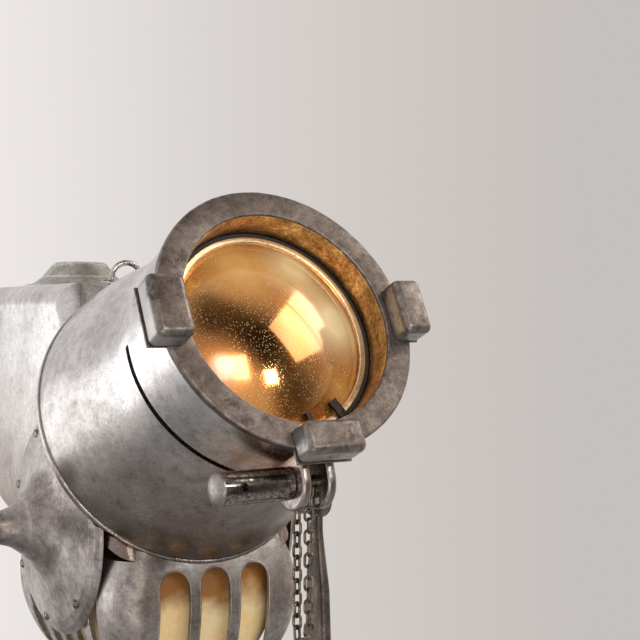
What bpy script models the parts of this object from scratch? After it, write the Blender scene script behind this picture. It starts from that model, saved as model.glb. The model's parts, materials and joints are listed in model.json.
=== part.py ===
"""Spotlight floor lamp: a cast spotlight head in a yoke on a telescopic column with three folding legs.

Metres, +Z up. The lens faces -Y and looks up at BARREL_TILT; the housing behind it stands upright.
The origin is on the floor, at the centre of the whole lamp's footprint. The spotlight's own pieces are
placed from the tilt pivot, and those of the barrel from the middle of the front ring, along its axis.
"""
import math

import bmesh
import bpy
from mathutils import Matrix, Vector

# Fits and smoothness
GAP = 0.0003
ROUND_STEPS = 28
TUBE_STEPS = 16
SMALL_STEPS = 12
TINY_STEPS = 8

# Places of the main assemblies
PIVOT_HEIGHT = 1.400
BARREL_TILT = math.radians(26.6)
RING_AHEAD = 0.240
RING_ABOVE = 0.183

# Front ring, its three filter lugs and the lens cell
RING_RADIUS = 0.110
RING_BORE = 0.0888
RING_FLANGE = 0.006
RING_DEPTH = 0.028
LUG_WIDTH = 0.050
LUG_INNER_RADIUS = 0.093
LUG_OUTER_RADIUS = 0.123
LUG_AHEAD = 0.020
LUG_BEHIND = 0.0035
LUG_EDGE = 0.004
LUG_PLACES = (("left", math.pi), ("right", 0.0), ("bottom", -math.pi / 2))
PAD_MARGIN = 0.001
SLEEVE_RADIUS = 0.098
SLEEVE_END = 0.095
SLEEVE_SHOULDER = 0.081
GASKET_WALL = 0.0032
RETAINER_BORE = 0.0800
LENS_EDGE = 0.005
LENS_CROWN = 0.018
CELL_DEPTH = 0.010

# Barrel: a straight collar that flares to the rear rim
COLLAR_RADIUS = 0.107
COLLAR_LENGTH = 0.075
RIM_RADIUS = 0.1325
RIM_BEHIND = 0.2033
RIM_BEAD = 0.0045
BARREL_WALL = 0.004
SLOT_BEHIND = 0.0665
SLOT_WIDTH = 0.0055
SLOT_START = math.radians(176)
SLOT_END = math.radians(256)

# Clevis under the collar and its pull pin
CLEVIS_BEHIND = 0.036
CLEVIS_BELOW = 0.122
CLEVIS_RADIUS = 0.021
CLEVIS_HALF_WIDTH = 0.015
CLEVIS_HALF_GAP = 0.007
PIN_HANDLE_RADIUS = 0.0125
PIN_HANDLE_LENGTH = 0.065
PIN_STEM_RADIUS = 0.0048
PIN_CROSS_HOLE = 0.003

# Chain of the pin
CHAIN_WIDTH = 0.006
CHAIN_DROP = 0.122
CHAIN_LEFT = 0.0075
CHAIN_RIGHT = 0.0030

# Lamp housing and the vented cage below it
HOUSING_HALF_WIDTH = 0.090
HOUSING_REAR = 0.245
HOUSING_TOP = 0.213
HOUSING_BASE = -0.0187
HOUSING_WALL = 0.004
HOUSING_EDGE = 0.022
BELLY_HEIGHT = 0.105
FLANGE_RADIUS = 0.130
FLANGE_LENGTH = 0.007
CAGE_HALF_LENGTH = 0.123
CAGE_CORNER = 0.025
CAGE_WALL = 0.005
CAGE_BULGE_RADIUS = 0.120
CAGE_BULGE_HEIGHT = -0.059
CAGE_BASE = -0.142
CAGE_SLOT_WIDTH = 0.0294
CAGE_SLOT_PITCH = 0.038
CAGE_SLOT_TOP = -0.029
CAGE_SLOT_BASE = -0.126
SIDE_SLOT_WIDTH = 0.022
SIDE_SLOT_PITCH = 0.0349
SIDE_SLOT_TOP = -0.040
LINER_WALL = 0.0015
LINER_INSET = 0.009
FLOOR_WALL = 0.004
CHEEK_RADIUS = 0.097
CHEEK_EDGE = 0.008
TRUNNION_RADIUS = 0.014
LIGHT_BORE = 0.080
CAGE_MOUTH_X = 0.034
CAGE_MOUTH_Y = 0.062
CAGE_LEVELS = 6
CAGE_CORNER_STEPS = 3
GLAND_BORE = 0.0065
GLAND_BACK = 0.045

# Rear door, vent cowl and lifting eye
DOOR_HALF_WIDTH = 0.060
DOOR_BASE = 0.100
DOOR_TOP = 0.190
DOOR_LAP = 0.008
DOOR_WALL = 0.004
DOOR_KNOB_LENGTH = 0.021
DOOR_KNOB_RADIUS = 0.0105
DOOR_KNOB_INSET = 0.014
HINGE_RADIUS = 0.0045
HINGE_PIN_RADIUS = 0.0016
VENT_BACK = 0.175
VENT_BORE = 0.020
COWL_HEIGHT = 0.0257
COWL_FOOT_RADIUS = 0.058
COWL_TOP_RADIUS = 0.0275
COWL_WALL = 0.003
EYE_BACK = 0.058
EYE_RADIUS = 0.0185
EYE_WIRE = 0.0027
EYE_BASE_HALF_X = 0.024
EYE_BASE_HALF_Y = 0.007
EYE_BASE_HEIGHT = 0.003
EYE_CENTRE_HEIGHT = 0.0052

# Lamp and reflector
LAMP_BEHIND = 0.285
LAMP_POST_RADIUS = 0.009
LAMP_POST_WALL = 0.002
LAMP_HOLDER_RADIUS = 0.017
LAMP_HOLDER_LENGTH = 0.030
BULB_RADIUS = 0.024
BULB_NECK_RADIUS = 0.012
BULB_FIT = 0.002
DISH_RADIUS = 0.060
DISH_FOCUS = 0.030
DISH_WALL = 0.0015

# Yoke and its bolts
YOKE_HALF_GAP = 0.177
YOKE_DROP = 0.225
YOKE_THIN = 0.007
YOKE_THICK = 0.011
YOKE_NECK_HALF = 0.008
YOKE_ARM_HALF = 0.015
YOKE_BAR_HALF = 0.022
YOKE_BEND = 0.036
YOKE_BOSS_RADIUS = 0.019
PIVOT_BOLT_RADIUS = 0.005
WASHER = 0.005
BOLT_DEPTH = 0.016

# Swivel, column and crown
SPINDLE_RADIUS = 0.012
SOCKET_RADIUS = 0.024
SOCKET_LENGTH = 0.066
SOCKET_CLEARANCE = 0.0035
INNER_TUBE_RADIUS = 0.014
INNER_TUBE_LENGTH = 0.395
TUBE_WALL = 0.002
TUBE_FIT = 0.0004
COLUMN_RADIUS = 0.018
PAN_SCREW_RADIUS = 0.004
CLAMP_SCREW_RADIUS = 0.0035
CLAMP_LIP = 0.014
MAST_SHOWN = 0.1255
COLUMN_BASE = 0.450
CLAMP_RADIUS = 0.026
CLAMP_LENGTH = 0.052
CROWN_RADIUS = 0.034
CROWN_HALF_HEIGHT = 0.036
LEG_HINGE_HEIGHT = 0.725
LEG_HINGE_REACH = 0.060
LEG_EYE_RADIUS = 0.014
LEG_EYE_WIDTH = 0.024
LEG_EAR_WALL = 0.008
LEG_TUBE_RADIUS = 0.011
LEG_SOCKET_LENGTH = 0.062
FOOT_REACH = 0.430
FOOT_RADIUS = 0.021
FOOT_LENGTH = 0.058
FOOT_SOLE = 0.024
LEG_PIN_RADIUS = 0.004
KNOB_RADIUS = 0.017
TILT_KNOB_RADIUS = 0.026

LEG_ANGLES = (math.radians(-90), math.radians(30), math.radians(150))
LEG_LEAN = math.atan2(FOOT_REACH - LEG_HINGE_REACH, LEG_HINGE_HEIGHT)
SOCKET_TOP = -YOKE_DROP - YOKE_THICK - SOCKET_CLEARANCE
COLUMN_TOP = PIVOT_HEIGHT + SOCKET_TOP - SOCKET_LENGTH - MAST_SHOWN - CLAMP_LIP
COWL_TOP = HOUSING_TOP + GAP + COWL_HEIGHT


def clear_scene():
    for item in list(bpy.data.objects):
        bpy.data.objects.remove(item, do_unlink=True)


def finish(name, colour, roughness, metallic=1.0, alpha=1.0):
    """A plain shader for one sub-part."""
    surface = bpy.data.materials.new(name + "_finish")
    surface.use_nodes = True
    shader = surface.node_tree.nodes["Principled BSDF"]
    shader.inputs["Base Color"].default_value = (*colour, 1.0)
    shader.inputs["Roughness"].default_value = roughness
    shader.inputs["Metallic"].default_value = metallic
    shader.inputs["Alpha"].default_value = alpha
    surface.diffuse_color = (*colour, alpha)
    return surface


CAST = dict(colour=(0.30, 0.28, 0.27), roughness=0.45)
SILVER = dict(colour=(0.55, 0.55, 0.54), roughness=0.28)
STEEL = dict(colour=(0.20, 0.19, 0.19), roughness=0.25)
BRIGHT = dict(colour=(0.62, 0.62, 0.62), roughness=0.20)
GOLD = dict(colour=(0.80, 0.47, 0.15), roughness=0.22)
BRASS = dict(colour=(0.45, 0.36, 0.24), roughness=0.35)
RUBBER = dict(colour=(0.02, 0.02, 0.02), roughness=0.80, metallic=0.0)
CERAMIC = dict(colour=(0.80, 0.78, 0.72), roughness=0.50, metallic=0.0)
GLASS = dict(colour=(0.95, 0.80, 0.55), roughness=0.05, metallic=0.0, alpha=0.35)


def empty(name, place, parent=None, turn=None):
    """A bare axis that pieces hang from."""
    frame = bpy.data.objects.new(name, None)
    bpy.context.collection.objects.link(frame)
    frame.location = place
    frame.rotation_euler = turn or (0, 0, 0)
    frame.parent = parent
    return frame


def piece(name, shape, parent, look=None, smooth=30):
    """Turn a bmesh into a named object with its own finish."""
    bmesh.ops.remove_doubles(shape, verts=shape.verts, dist=1e-6)
    bmesh.ops.recalc_face_normals(shape, faces=shape.faces)
    mesh = bpy.data.meshes.new(name)
    shape.to_mesh(mesh)
    shape.free()
    mesh.shade_smooth()
    mesh.set_sharp_from_angle(angle=math.radians(smooth))
    made = bpy.data.objects.new(name, mesh)
    bpy.context.collection.objects.link(made)
    made.parent = parent
    if look is None:
        made.hide_render = True
        made.display_type = "WIRE"
    else:
        mesh.materials.append(finish(name, **look))
    return made


def combine(target, other, operation):
    step = target.modifiers.new(operation.lower() + "_" + other.name, "BOOLEAN")
    step.operation = operation
    step.solver = "EXACT"
    step.object = other


def cut(target, *cutters):
    for cutter in cutters:
        combine(target, cutter, "DIFFERENCE")


def join(target, *additions):
    for addition in additions:
        combine(target, addition, "UNION")


def turned(outline, steps=ROUND_STEPS, axis="Z"):
    """Spin a closed outline of (radius, height) points about an axis through the origin."""
    shape = bmesh.new()
    corners = [shape.verts.new((radius, 0.0, height)) for radius, height in outline]
    edges = [shape.edges.new((corners[i - 1], corners[i])) for i in range(len(corners))]
    edges = [edge for edge in edges if max(abs(vert.co.x) for vert in edge.verts) > 1e-9]
    bmesh.ops.spin(shape, geom=corners + edges, cent=(0, 0, 0), axis=(0, 0, 1), angle=math.tau,
                   steps=steps, use_merge=True)
    bmesh.ops.remove_doubles(shape, verts=shape.verts, dist=1e-6)
    bmesh.ops.delete(shape, geom=[edge for edge in shape.edges if not edge.link_faces], context="EDGES")
    if axis == "X":
        bmesh.ops.transform(shape, matrix=Matrix.Rotation(math.pi / 2, 4, "Y"), verts=shape.verts)
    if axis == "Y":
        bmesh.ops.transform(shape, matrix=Matrix.Rotation(-math.pi / 2, 4, "X"), verts=shape.verts)
    return shape


def tube(radius, bore, low, high, steps=SMALL_STEPS, axis="Z"):
    return turned([(bore, low), (radius, low), (radius, high), (bore, high)], steps, axis)


def rod(radius, low, high, steps=SMALL_STEPS, axis="Z", edge=0.0):
    outline = [(0, low), (radius - edge, low), (radius, low + edge), (radius, high - edge),
               (radius - edge, high), (0, high)]
    if edge == 0.0:
        outline = [(0, low), (radius, low), (radius, high), (0, high)]
    return turned(outline, steps, axis)


def slab(outline, low, high, axis="X", edge=0.0, edge_steps=1):
    """Extrude a flat outline. Its points are (y, z) for axis X, (x, z) for Y and (x, y) for Z."""
    shape = bmesh.new()
    places = {"X": lambda a, b: (low, a, b), "Y": lambda a, b: (a, low, b), "Z": lambda a, b: (a, b, low)}
    travel = {"X": (high - low, 0, 0), "Y": (0, high - low, 0), "Z": (0, 0, high - low)}
    base = shape.faces.new([shape.verts.new(places[axis](a, b)) for a, b in outline])
    grown = bmesh.ops.extrude_face_region(shape, geom=[base])
    moved = [item for item in grown["geom"] if isinstance(item, bmesh.types.BMVert)]
    bmesh.ops.translate(shape, verts=moved, vec=travel[axis])
    bmesh.ops.recalc_face_normals(shape, faces=shape.faces)
    if edge > 0:
        along = Vector(travel[axis]).normalized()
        rims = [line for line in shape.edges
                if abs((line.verts[0].co - line.verts[1].co).normalized().dot(along)) < 0.01]
        bmesh.ops.bevel(shape, geom=rims, offset=edge, segments=edge_steps, profile=0.5, affect="EDGES")
    return shape


def box(low, high, edge=0.0, edge_steps=1):
    outline = [(low[0], low[1]), (high[0], low[1]), (high[0], high[1]), (low[0], high[1])]
    shape = slab(outline, low[2], high[2], axis="Z")
    if edge > 0:
        bmesh.ops.bevel(shape, geom=list(shape.edges), offset=edge, segments=edge_steps, profile=0.5,
                        affect="EDGES")
    return shape


def moved(shape, place=(0, 0, 0), turn=0.0, about="Z"):
    """Turn a shape about an axis through the origin, then shift it."""
    matrix = Matrix.Translation(place) @ Matrix.Rotation(turn, 4, about)
    bmesh.ops.transform(shape, matrix=matrix, verts=shape.verts)
    return shape


def arc(centre, radius, start, end, steps):
    """Points on an arc, for an outline."""
    span = [start + (end - start) * i / steps for i in range(steps + 1)]
    return [(centre[0] + radius * math.cos(a), centre[1] + radius * math.sin(a)) for a in span]


def rounded_slot(centre, width, low, high, steps=5):
    """An upright slot with round ends."""
    half = width / 2
    top = arc((centre, high - half), half, 0, math.pi, steps)
    base = arc((centre, low + half), half, math.pi, math.tau, steps)
    return top + base


def rounded_plan(half_x, half_y, corner, steps=4):
    """A rectangle with round corners, seen from above."""
    centres = ((half_x - corner, half_y - corner, 0), (corner - half_x, half_y - corner, 1),
               (corner - half_x, corner - half_y, 2), (half_x - corner, corner - half_y, 3))
    points = []
    for x, y, quarter in centres:
        points += arc((x, y), corner, quarter * math.pi / 2, (quarter + 1) * math.pi / 2, steps)
    return points


def loft(rings, closed_ends=True):
    """Join rings of points that have equal counts."""
    shape = bmesh.new()
    rows = [[shape.verts.new(point) for point in ring] for ring in rings]
    for lower, upper in zip(rows, rows[1:]):
        for i in range(len(lower)):
            shape.faces.new((lower[i - 1], lower[i], upper[i], upper[i - 1]))
    if closed_ends:
        shape.faces.new(rows[0])
        shape.faces.new(rows[-1])
    return shape


def inset(outline, distance):
    """Move each side of a convex outline, listed anticlockwise, inwards."""
    count = len(outline)
    points = []
    for i in range(count):
        before, here, after = (Vector(outline[(i + k) % count]) for k in (-1, 0, 1))
        first = (here - before).normalized()
        second = (after - here).normalized()
        first_in = Vector((-first.y, first.x))
        second_in = Vector((-second.y, second.x))
        push = first_in + second_in
        points.append(tuple(here + push * (distance / (1 + first_in.dot(second_in)))))
    return points


def build_front_ring(barrel):
    """The cast ring: a flat flange, a skirt that goes into the collar, and pads behind the lugs."""
    skirt = SLEEVE_RADIUS - GAP
    chamfer = 0.0012
    ring = piece("front_ring", turned([
        (RING_BORE + chamfer, 0), (RING_RADIUS - chamfer, 0), (RING_RADIUS, -chamfer),
        (RING_RADIUS, -RING_FLANGE), (skirt, -RING_FLANGE), (skirt, -RING_DEPTH),
        (RING_BORE, -RING_DEPTH), (RING_BORE, -chamfer)], ROUND_STEPS), barrel, CAST)
    half = LUG_WIDTH / 2 - PAD_MARGIN
    for name, angle in LUG_PLACES:
        pad = box((SLEEVE_RADIUS + 0.002, -half, -RING_FLANGE),
                  (LUG_OUTER_RADIUS, half, -LUG_BEHIND - GAP))
        join(ring, piece(name + "_pad_shape", moved(pad, turn=angle), barrel))
    return ring


def build_lugs(barrel):
    """Three blocks that hold a filter frame, open at the top. Each steps over the ring's edge."""
    step = turned([(SLEEVE_RADIUS - 0.020, GAP), (RING_RADIUS + GAP, GAP),
                   (RING_RADIUS + GAP, -RING_DEPTH), (SLEEVE_RADIUS - 0.020, -RING_DEPTH)], ROUND_STEPS)
    step = piece("lug_step_cutter", step, barrel)
    for name, angle in LUG_PLACES:
        block = box((LUG_INNER_RADIUS, -LUG_WIDTH / 2, -LUG_BEHIND),
                    (LUG_OUTER_RADIUS, LUG_WIDTH / 2, LUG_AHEAD), LUG_EDGE)
        lug = piece("lug_" + name, moved(block, turn=angle), barrel, CAST)
        cut(lug, step)


def build_lens_cell(barrel):
    """The sleeve behind the ring, with the domed lens, its gasket, retaining ring and clips."""
    seat = -RING_DEPTH - GAP
    cell_base = seat - CELL_DEPTH
    piece("lens_sleeve", turned([
        (RING_BORE, seat), (SLEEVE_RADIUS, seat), (SLEEVE_RADIUS, -SLEEVE_END),
        (RING_BORE + 0.003, -SLEEVE_END), (RING_BORE + 0.003, cell_base - 0.004),
        (SLEEVE_SHOULDER, cell_base - 0.004), (SLEEVE_SHOULDER, cell_base), (RING_BORE, cell_base)],
        ROUND_STEPS), barrel, GOLD)
    gasket_bore = RING_BORE - GAP - GASKET_WALL
    piece("lens_gasket", tube(RING_BORE - GAP, gasket_bore, cell_base + GAP, seat, ROUND_STEPS),
          barrel, RUBBER)
    retainer_base = cell_base + GAP + LENS_EDGE + GAP
    piece("lens_retainer", tube(gasket_bore - GAP, RETAINER_BORE, retainer_base, seat, ROUND_STEPS),
          barrel, GOLD)
    low = cell_base + GAP
    aperture = RETAINER_BORE - GAP
    steps = 3
    sphere = (aperture ** 2 + LENS_CROWN ** 2) / (2 * LENS_CROWN)
    front = [(aperture * (1 - i / steps),
              low + LENS_EDGE + math.sqrt(sphere ** 2 - (aperture * (1 - i / steps)) ** 2)
              - sphere + LENS_CROWN) for i in range(steps + 1)]
    back = [(radius, height - LENS_EDGE) for radius, height in reversed(front)]
    edge = gasket_bore - GAP
    piece("lens", turned(front + back + [(edge, low), (edge, low + LENS_EDGE)], ROUND_STEPS),
          barrel, GLASS)
    for name, angle, width in (("lens_clip_small", -81, 0.0045), ("lens_clip_large", -59.5, 0.0075)):
        blade = box((RING_BORE - 0.0178, -width / 2, seat + GAP),
                    (RING_BORE - 0.0008, width / 2, seat + 0.003))
        piece(name, moved(blade, turn=math.radians(angle)), barrel, STEEL)


def flare(share):
    """How far the barrel has swelled from the collar to the rim, 0 to 1."""
    return math.sin(share * math.pi / 2) ** 1.3


def barrel_outline():
    """The section of the barrel casting, from the front down its outer side and back up the bore."""
    front = -RING_FLANGE - GAP
    rim_start = -RIM_BEHIND + RIM_BEAD
    swell = RIM_RADIUS - 0.0018 - COLLAR_RADIUS
    steps = 7
    outer = [(COLLAR_RADIUS - 0.001, front), (COLLAR_RADIUS, front - 0.001)]
    inner = [(SLEEVE_RADIUS + GAP, front)]
    for i in range(steps + 1):
        share = i / steps
        height = -COLLAR_LENGTH + (rim_start + COLLAR_LENGTH) * share
        radius = COLLAR_RADIUS + swell * flare(share)
        outer.append((radius, height))
        if i > 1:
            inner.append((radius - BARREL_WALL, height))
    inner.insert(1, (SLEEVE_RADIUS + GAP, -SLEEVE_END))
    outer += [(RIM_RADIUS, rim_start - 0.0006), (RIM_RADIUS, -RIM_BEHIND + 0.0008),
              (RIM_RADIUS - 0.0008, -RIM_BEHIND)]
    inner.append((inner[-1][0], -RIM_BEHIND))
    return outer + inner[::-1]


def arc_slot(start, end, middle, width, low, high):
    """A cutter for a slot that runs round the barrel, with round ends."""
    half = width / 2
    reach = half / COLLAR_RADIUS
    ends = (0.02, 0.35, 1.0)
    angles = [start + reach * e for e in ends]
    count = max(6, int((end - start) / math.radians(6)))
    angles += [start + reach + (end - start - 2 * reach) * i / count for i in range(1, count)]
    angles += [end - reach * e for e in reversed(ends)]
    rings = []
    for angle in angles:
        edge = min(angle - start, end - angle, reach) / reach
        tall = half * math.sqrt(max(0.0, 1 - (1 - edge) ** 2))
        rings.append([(radius * math.cos(angle), radius * math.sin(angle), -middle + side * tall)
                      for radius, side in ((low, -1), (high, -1), (high, 1), (low, 1))])
    return loft(rings)


def ear_outline():
    """One ear of the clevis in the barrel's own (y, z): round below, straight up to the collar."""
    centre = (-CLEVIS_BELOW, -CLEVIS_BEHIND)
    round_end = arc(centre, CLEVIS_RADIUS, math.radians(100), math.radians(260), 10)
    root = -(SLEEVE_RADIUS + COLLAR_RADIUS) / 2 + 0.002
    spread = CLEVIS_RADIUS + 0.004
    return round_end + [(root, -CLEVIS_BEHIND - spread + 0.002), (root, -CLEVIS_BEHIND + spread)]


def build_barrel(barrel):
    """The barrel casting, with its two arc slots and the clevis ears below the collar."""
    shell = piece("barrel_shell", turned(barrel_outline(), ROUND_STEPS), barrel, SILVER)
    for name, start, end in (("left", SLOT_START, SLOT_END),
                             ("right", 3 * math.pi - SLOT_END, 3 * math.pi - SLOT_START)):
        slot = arc_slot(start, end, SLOT_BEHIND, SLOT_WIDTH, SLEEVE_RADIUS - 0.003, COLLAR_RADIUS + 0.004)
        cut(shell, piece(name + "_arc_slot_cutter", slot, barrel))
    for side, name in ((-1, "left"), (1, "right")):
        low, high = sorted((side * CLEVIS_HALF_GAP, side * CLEVIS_HALF_WIDTH))
        ear = slab(ear_outline(), low, high, "X", 0.0018)
        join(shell, piece(name + "_ear_shape", ear, barrel))
    bore = rod(PIN_STEM_RADIUS + GAP, -2 * CLEVIS_HALF_WIDTH, 2 * CLEVIS_HALF_WIDTH, SMALL_STEPS, "X")
    cut(shell, piece("pin_bore_cutter", moved(bore, (0, -CLEVIS_BELOW, -CLEVIS_BEHIND)), barrel))


def build_pull_pin(barrel):
    """The pull pin: a handle with a domed end and a cross hole, and a stem through both ears."""
    axis = empty("pull_pin_axis", (0, -CLEVIS_BELOW, -CLEVIS_BEHIND), barrel)
    shoulder = -CLEVIS_HALF_WIDTH - GAP
    tip = CLEVIS_HALF_WIDTH + 0.003
    end = shoulder - PIN_HANDLE_LENGTH
    dome = 0.006
    crown = [(PIN_HANDLE_RADIUS * math.cos(a), end + dome - dome * math.sin(a))
             for a in (0.0, 0.5, 1.0, 1.3)]
    outline = crown + [(0, end), (0, tip), (PIN_STEM_RADIUS - 0.001, tip), (PIN_STEM_RADIUS, tip - 0.001),
                       (PIN_STEM_RADIUS, shoulder), (PIN_HANDLE_RADIUS - 0.001, shoulder),
                       (PIN_HANDLE_RADIUS, shoulder - 0.001)]
    pin = piece("pull_pin", turned(outline, SMALL_STEPS, "X"), axis, STEEL)
    hole = rod(PIN_CROSS_HOLE, -2 * PIN_HANDLE_RADIUS, 2 * PIN_HANDLE_RADIUS, TINY_STEPS)
    hole = moved(hole, (shoulder - 0.044, 0, 0), math.radians(18.6), "X")
    cut(pin, piece("cross_hole_cutter", hole, axis))


def build_chain(barrel):
    """The pin's chain as one plain tube: down from the left ear, round, and up to the stem."""
    axis = empty("chain_axis", (0, -CLEVIS_BELOW, -CLEVIS_BEHIND), barrel,
                 (BARREL_TILT - math.pi / 2, 0, 0))
    left_top = -CLEVIS_RADIUS - 0.001
    right_top = -PIN_STEM_RADIUS - 0.0008
    bend = (CHAIN_LEFT + CHAIN_RIGHT) / 2
    middle = (CHAIN_RIGHT - CHAIN_LEFT) / 2
    base = -CHAIN_DROP + bend
    radius = CHAIN_WIDTH / 2
    strands = 5
    places = [(-CHAIN_LEFT, left_top + (base - left_top) * i / strands) for i in range(strands)]
    places += arc((middle, base), bend, math.pi, math.tau, 6)
    places += [(CHAIN_RIGHT, base + (right_top - base) * (i + 1) / strands) for i in range(strands)]
    route = bpy.data.curves.new("pin_chain", "CURVE")
    route.dimensions = "3D"
    route.bevel_depth = radius
    route.bevel_resolution = 2
    route.use_fill_caps = True
    line = route.splines.new("POLY")
    line.points.add(len(places) - 1)
    for point, (x, z) in zip(line.points, places):
        point.co = (x, 0, z, 1)
    route.materials.append(finish("pin_chain", **BRASS))
    chain = bpy.data.objects.new("pin_chain", route)
    bpy.context.collection.objects.link(chain)
    chain.parent = axis


def on_axis(behind, above=0.0):
    """(y, z) from the pivot of a point behind the ring's face and above the optical axis."""
    forward = (-math.cos(BARREL_TILT), math.sin(BARREL_TILT))
    upward = (math.sin(BARREL_TILT), math.cos(BARREL_TILT))
    return (-RING_AHEAD - behind * forward[0] + above * upward[0],
            RING_ABOVE - behind * forward[1] + above * upward[1])


def housing_outline():
    """The housing's side view, anticlockwise: sloping front, belly, upright rear, flat roof."""
    plane = RIM_BEHIND + GAP
    start = on_axis(plane)
    slope = math.tan(BARREL_TILT)
    base_front = (start[0] + (HOUSING_BASE - start[1]) * slope, HOUSING_BASE)
    top_front = (start[0] + (HOUSING_TOP - start[1]) * slope, HOUSING_TOP)
    belly_start = CAGE_HALF_LENGTH - 0.012
    belly_run = HOUSING_REAR - belly_start
    steps = 6
    belly = [(belly_start + belly_run * math.sin(a), HOUSING_BASE + BELLY_HEIGHT * (1 - math.cos(a)))
             for a in (math.pi / 2 * i / steps for i in range(steps + 1))]
    corner = 0.012
    roof = arc((HOUSING_REAR - corner, HOUSING_TOP - corner), corner, 0, math.pi / 2, 3)
    return [base_front] + belly + roof + [top_front]


def flange_outline(grow=0.0):
    """The round flange on the housing's front, which backs the barrel's rim."""
    plane = -RIM_BEHIND - GAP
    inner = 0.020
    return [(0, plane + grow), (FLANGE_RADIUS + grow, plane + grow),
            (FLANGE_RADIUS + grow, plane - FLANGE_LENGTH - grow),
            (HOUSING_HALF_WIDTH + 0.010 + grow, plane - FLANGE_LENGTH - 0.012 - grow),
            (HOUSING_HALF_WIDTH - inner, plane - FLANGE_LENGTH - 0.012 - grow), (0, plane - 0.03)]


def build_housing(head, barrel):
    """The hollow lamp housing, open to the barrel, to the cage below and to its rear door."""
    outline = housing_outline()
    half = HOUSING_HALF_WIDTH
    shell = piece("housing_shell", slab(outline, -half, half, "X", HOUSING_EDGE, 3), head, SILVER)
    join(shell, piece("flange_shape", turned(flange_outline(), ROUND_STEPS), barrel))
    room = slab(inset(outline, HOUSING_WALL), HOUSING_WALL - half, half - HOUSING_WALL, "X",
                HOUSING_EDGE - HOUSING_WALL / 2, 3)
    front = rod(LIGHT_BORE, -RIM_BEHIND - 0.040, -RIM_BEHIND + 0.010, ROUND_STEPS)
    wide = HOUSING_HALF_WIDTH + 2 * FLANGE_RADIUS
    below = box((-wide, -2 * RIM_BEHIND, HOUSING_BASE - 0.2), (wide, 2 * RIM_BEHIND, HOUSING_BASE))
    throat = slab(rounded_plan(half - 0.016, CAGE_HALF_LENGTH - 0.026, CAGE_CORNER - 0.010),
                  HOUSING_BASE - 0.020, HOUSING_BASE + 0.020, "Z")
    door = box((-DOOR_HALF_WIDTH + DOOR_LAP, HOUSING_REAR - 0.030, DOOR_BASE + DOOR_LAP),
               (DOOR_HALF_WIDTH - DOOR_LAP, HOUSING_REAR + 0.030, DOOR_TOP - DOOR_LAP))
    vent = rod(VENT_BORE, HOUSING_TOP - 0.030, HOUSING_TOP + 0.030)
    cut(shell, piece("housing_room_cutter", room, head), piece("light_bore_cutter", front, barrel),
        piece("below_housing_cutter", below, head), piece("throat_cutter", throat, head),
        piece("door_opening_cutter", door, head),
        piece("vent_bore_cutter", moved(vent, (0, VENT_BACK, 0)), head))


def cage_ring(height, thickness=0.0):
    """One level of the cage: its plan swells to its widest at the bulge."""
    off = height - CAGE_BULGE_HEIGHT
    shrink = CAGE_BULGE_RADIUS - math.sqrt(CAGE_BULGE_RADIUS ** 2 - off ** 2) + thickness
    plan = rounded_plan(HOUSING_HALF_WIDTH - shrink, CAGE_HALF_LENGTH - shrink, CAGE_CORNER,
                        CAGE_CORNER_STEPS)
    return [(x, y, height) for x, y in plan]


def cage_levels(low, high, count):
    return [low + (high - low) * i / count for i in range(count + 1)]


def build_cage(head, barrel):
    """The bulbous vented cage under the housing, slotted all round and open above and below."""
    top = HOUSING_BASE - GAP
    shell = loft([cage_ring(z) for z in cage_levels(CAGE_BASE, top, CAGE_LEVELS)])
    shell = piece("vent_cage", shell, head, CAST)
    low = CAGE_BASE + FLOOR_WALL
    levels = cage_levels(low, top, CAGE_LEVELS)
    levels[-1] = top + 0.010
    room = loft([cage_ring(z, CAGE_WALL) for z in levels])
    mouth = slab(rounded_plan(CAGE_MOUTH_X, CAGE_MOUTH_Y, CAGE_CORNER - 0.010), CAGE_BASE - 0.010,
                 CAGE_BASE + 0.020, "Z")
    rim = rod(RIM_RADIUS + GAP, -RIM_BEHIND - FLANGE_LENGTH, -RIM_BEHIND + 0.060, ROUND_STEPS)
    cut(shell, piece("cage_room_cutter", room, head), piece("cage_mouth_cutter", mouth, head),
        piece("rim_cutter", rim, barrel))
    for i in (-1, 0, 1):
        outline = rounded_slot(i * CAGE_SLOT_PITCH, CAGE_SLOT_WIDTH, CAGE_SLOT_BASE, CAGE_SLOT_TOP)
        reach = CAGE_HALF_LENGTH + 0.020
        cut(shell, piece(f"front_slot_cutter_{i + 2}", slab(outline, -reach, reach, "Y"), head))
    for i in (-2, -1, 0, 1, 2):
        outline = rounded_slot(i * SIDE_SLOT_PITCH, SIDE_SLOT_WIDTH, CAGE_SLOT_BASE, SIDE_SLOT_TOP)
        reach = HOUSING_HALF_WIDTH + 0.020
        cut(shell, piece(f"side_slot_cutter_{i + 3}", slab(outline, -reach, reach, "X"), head))


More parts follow.
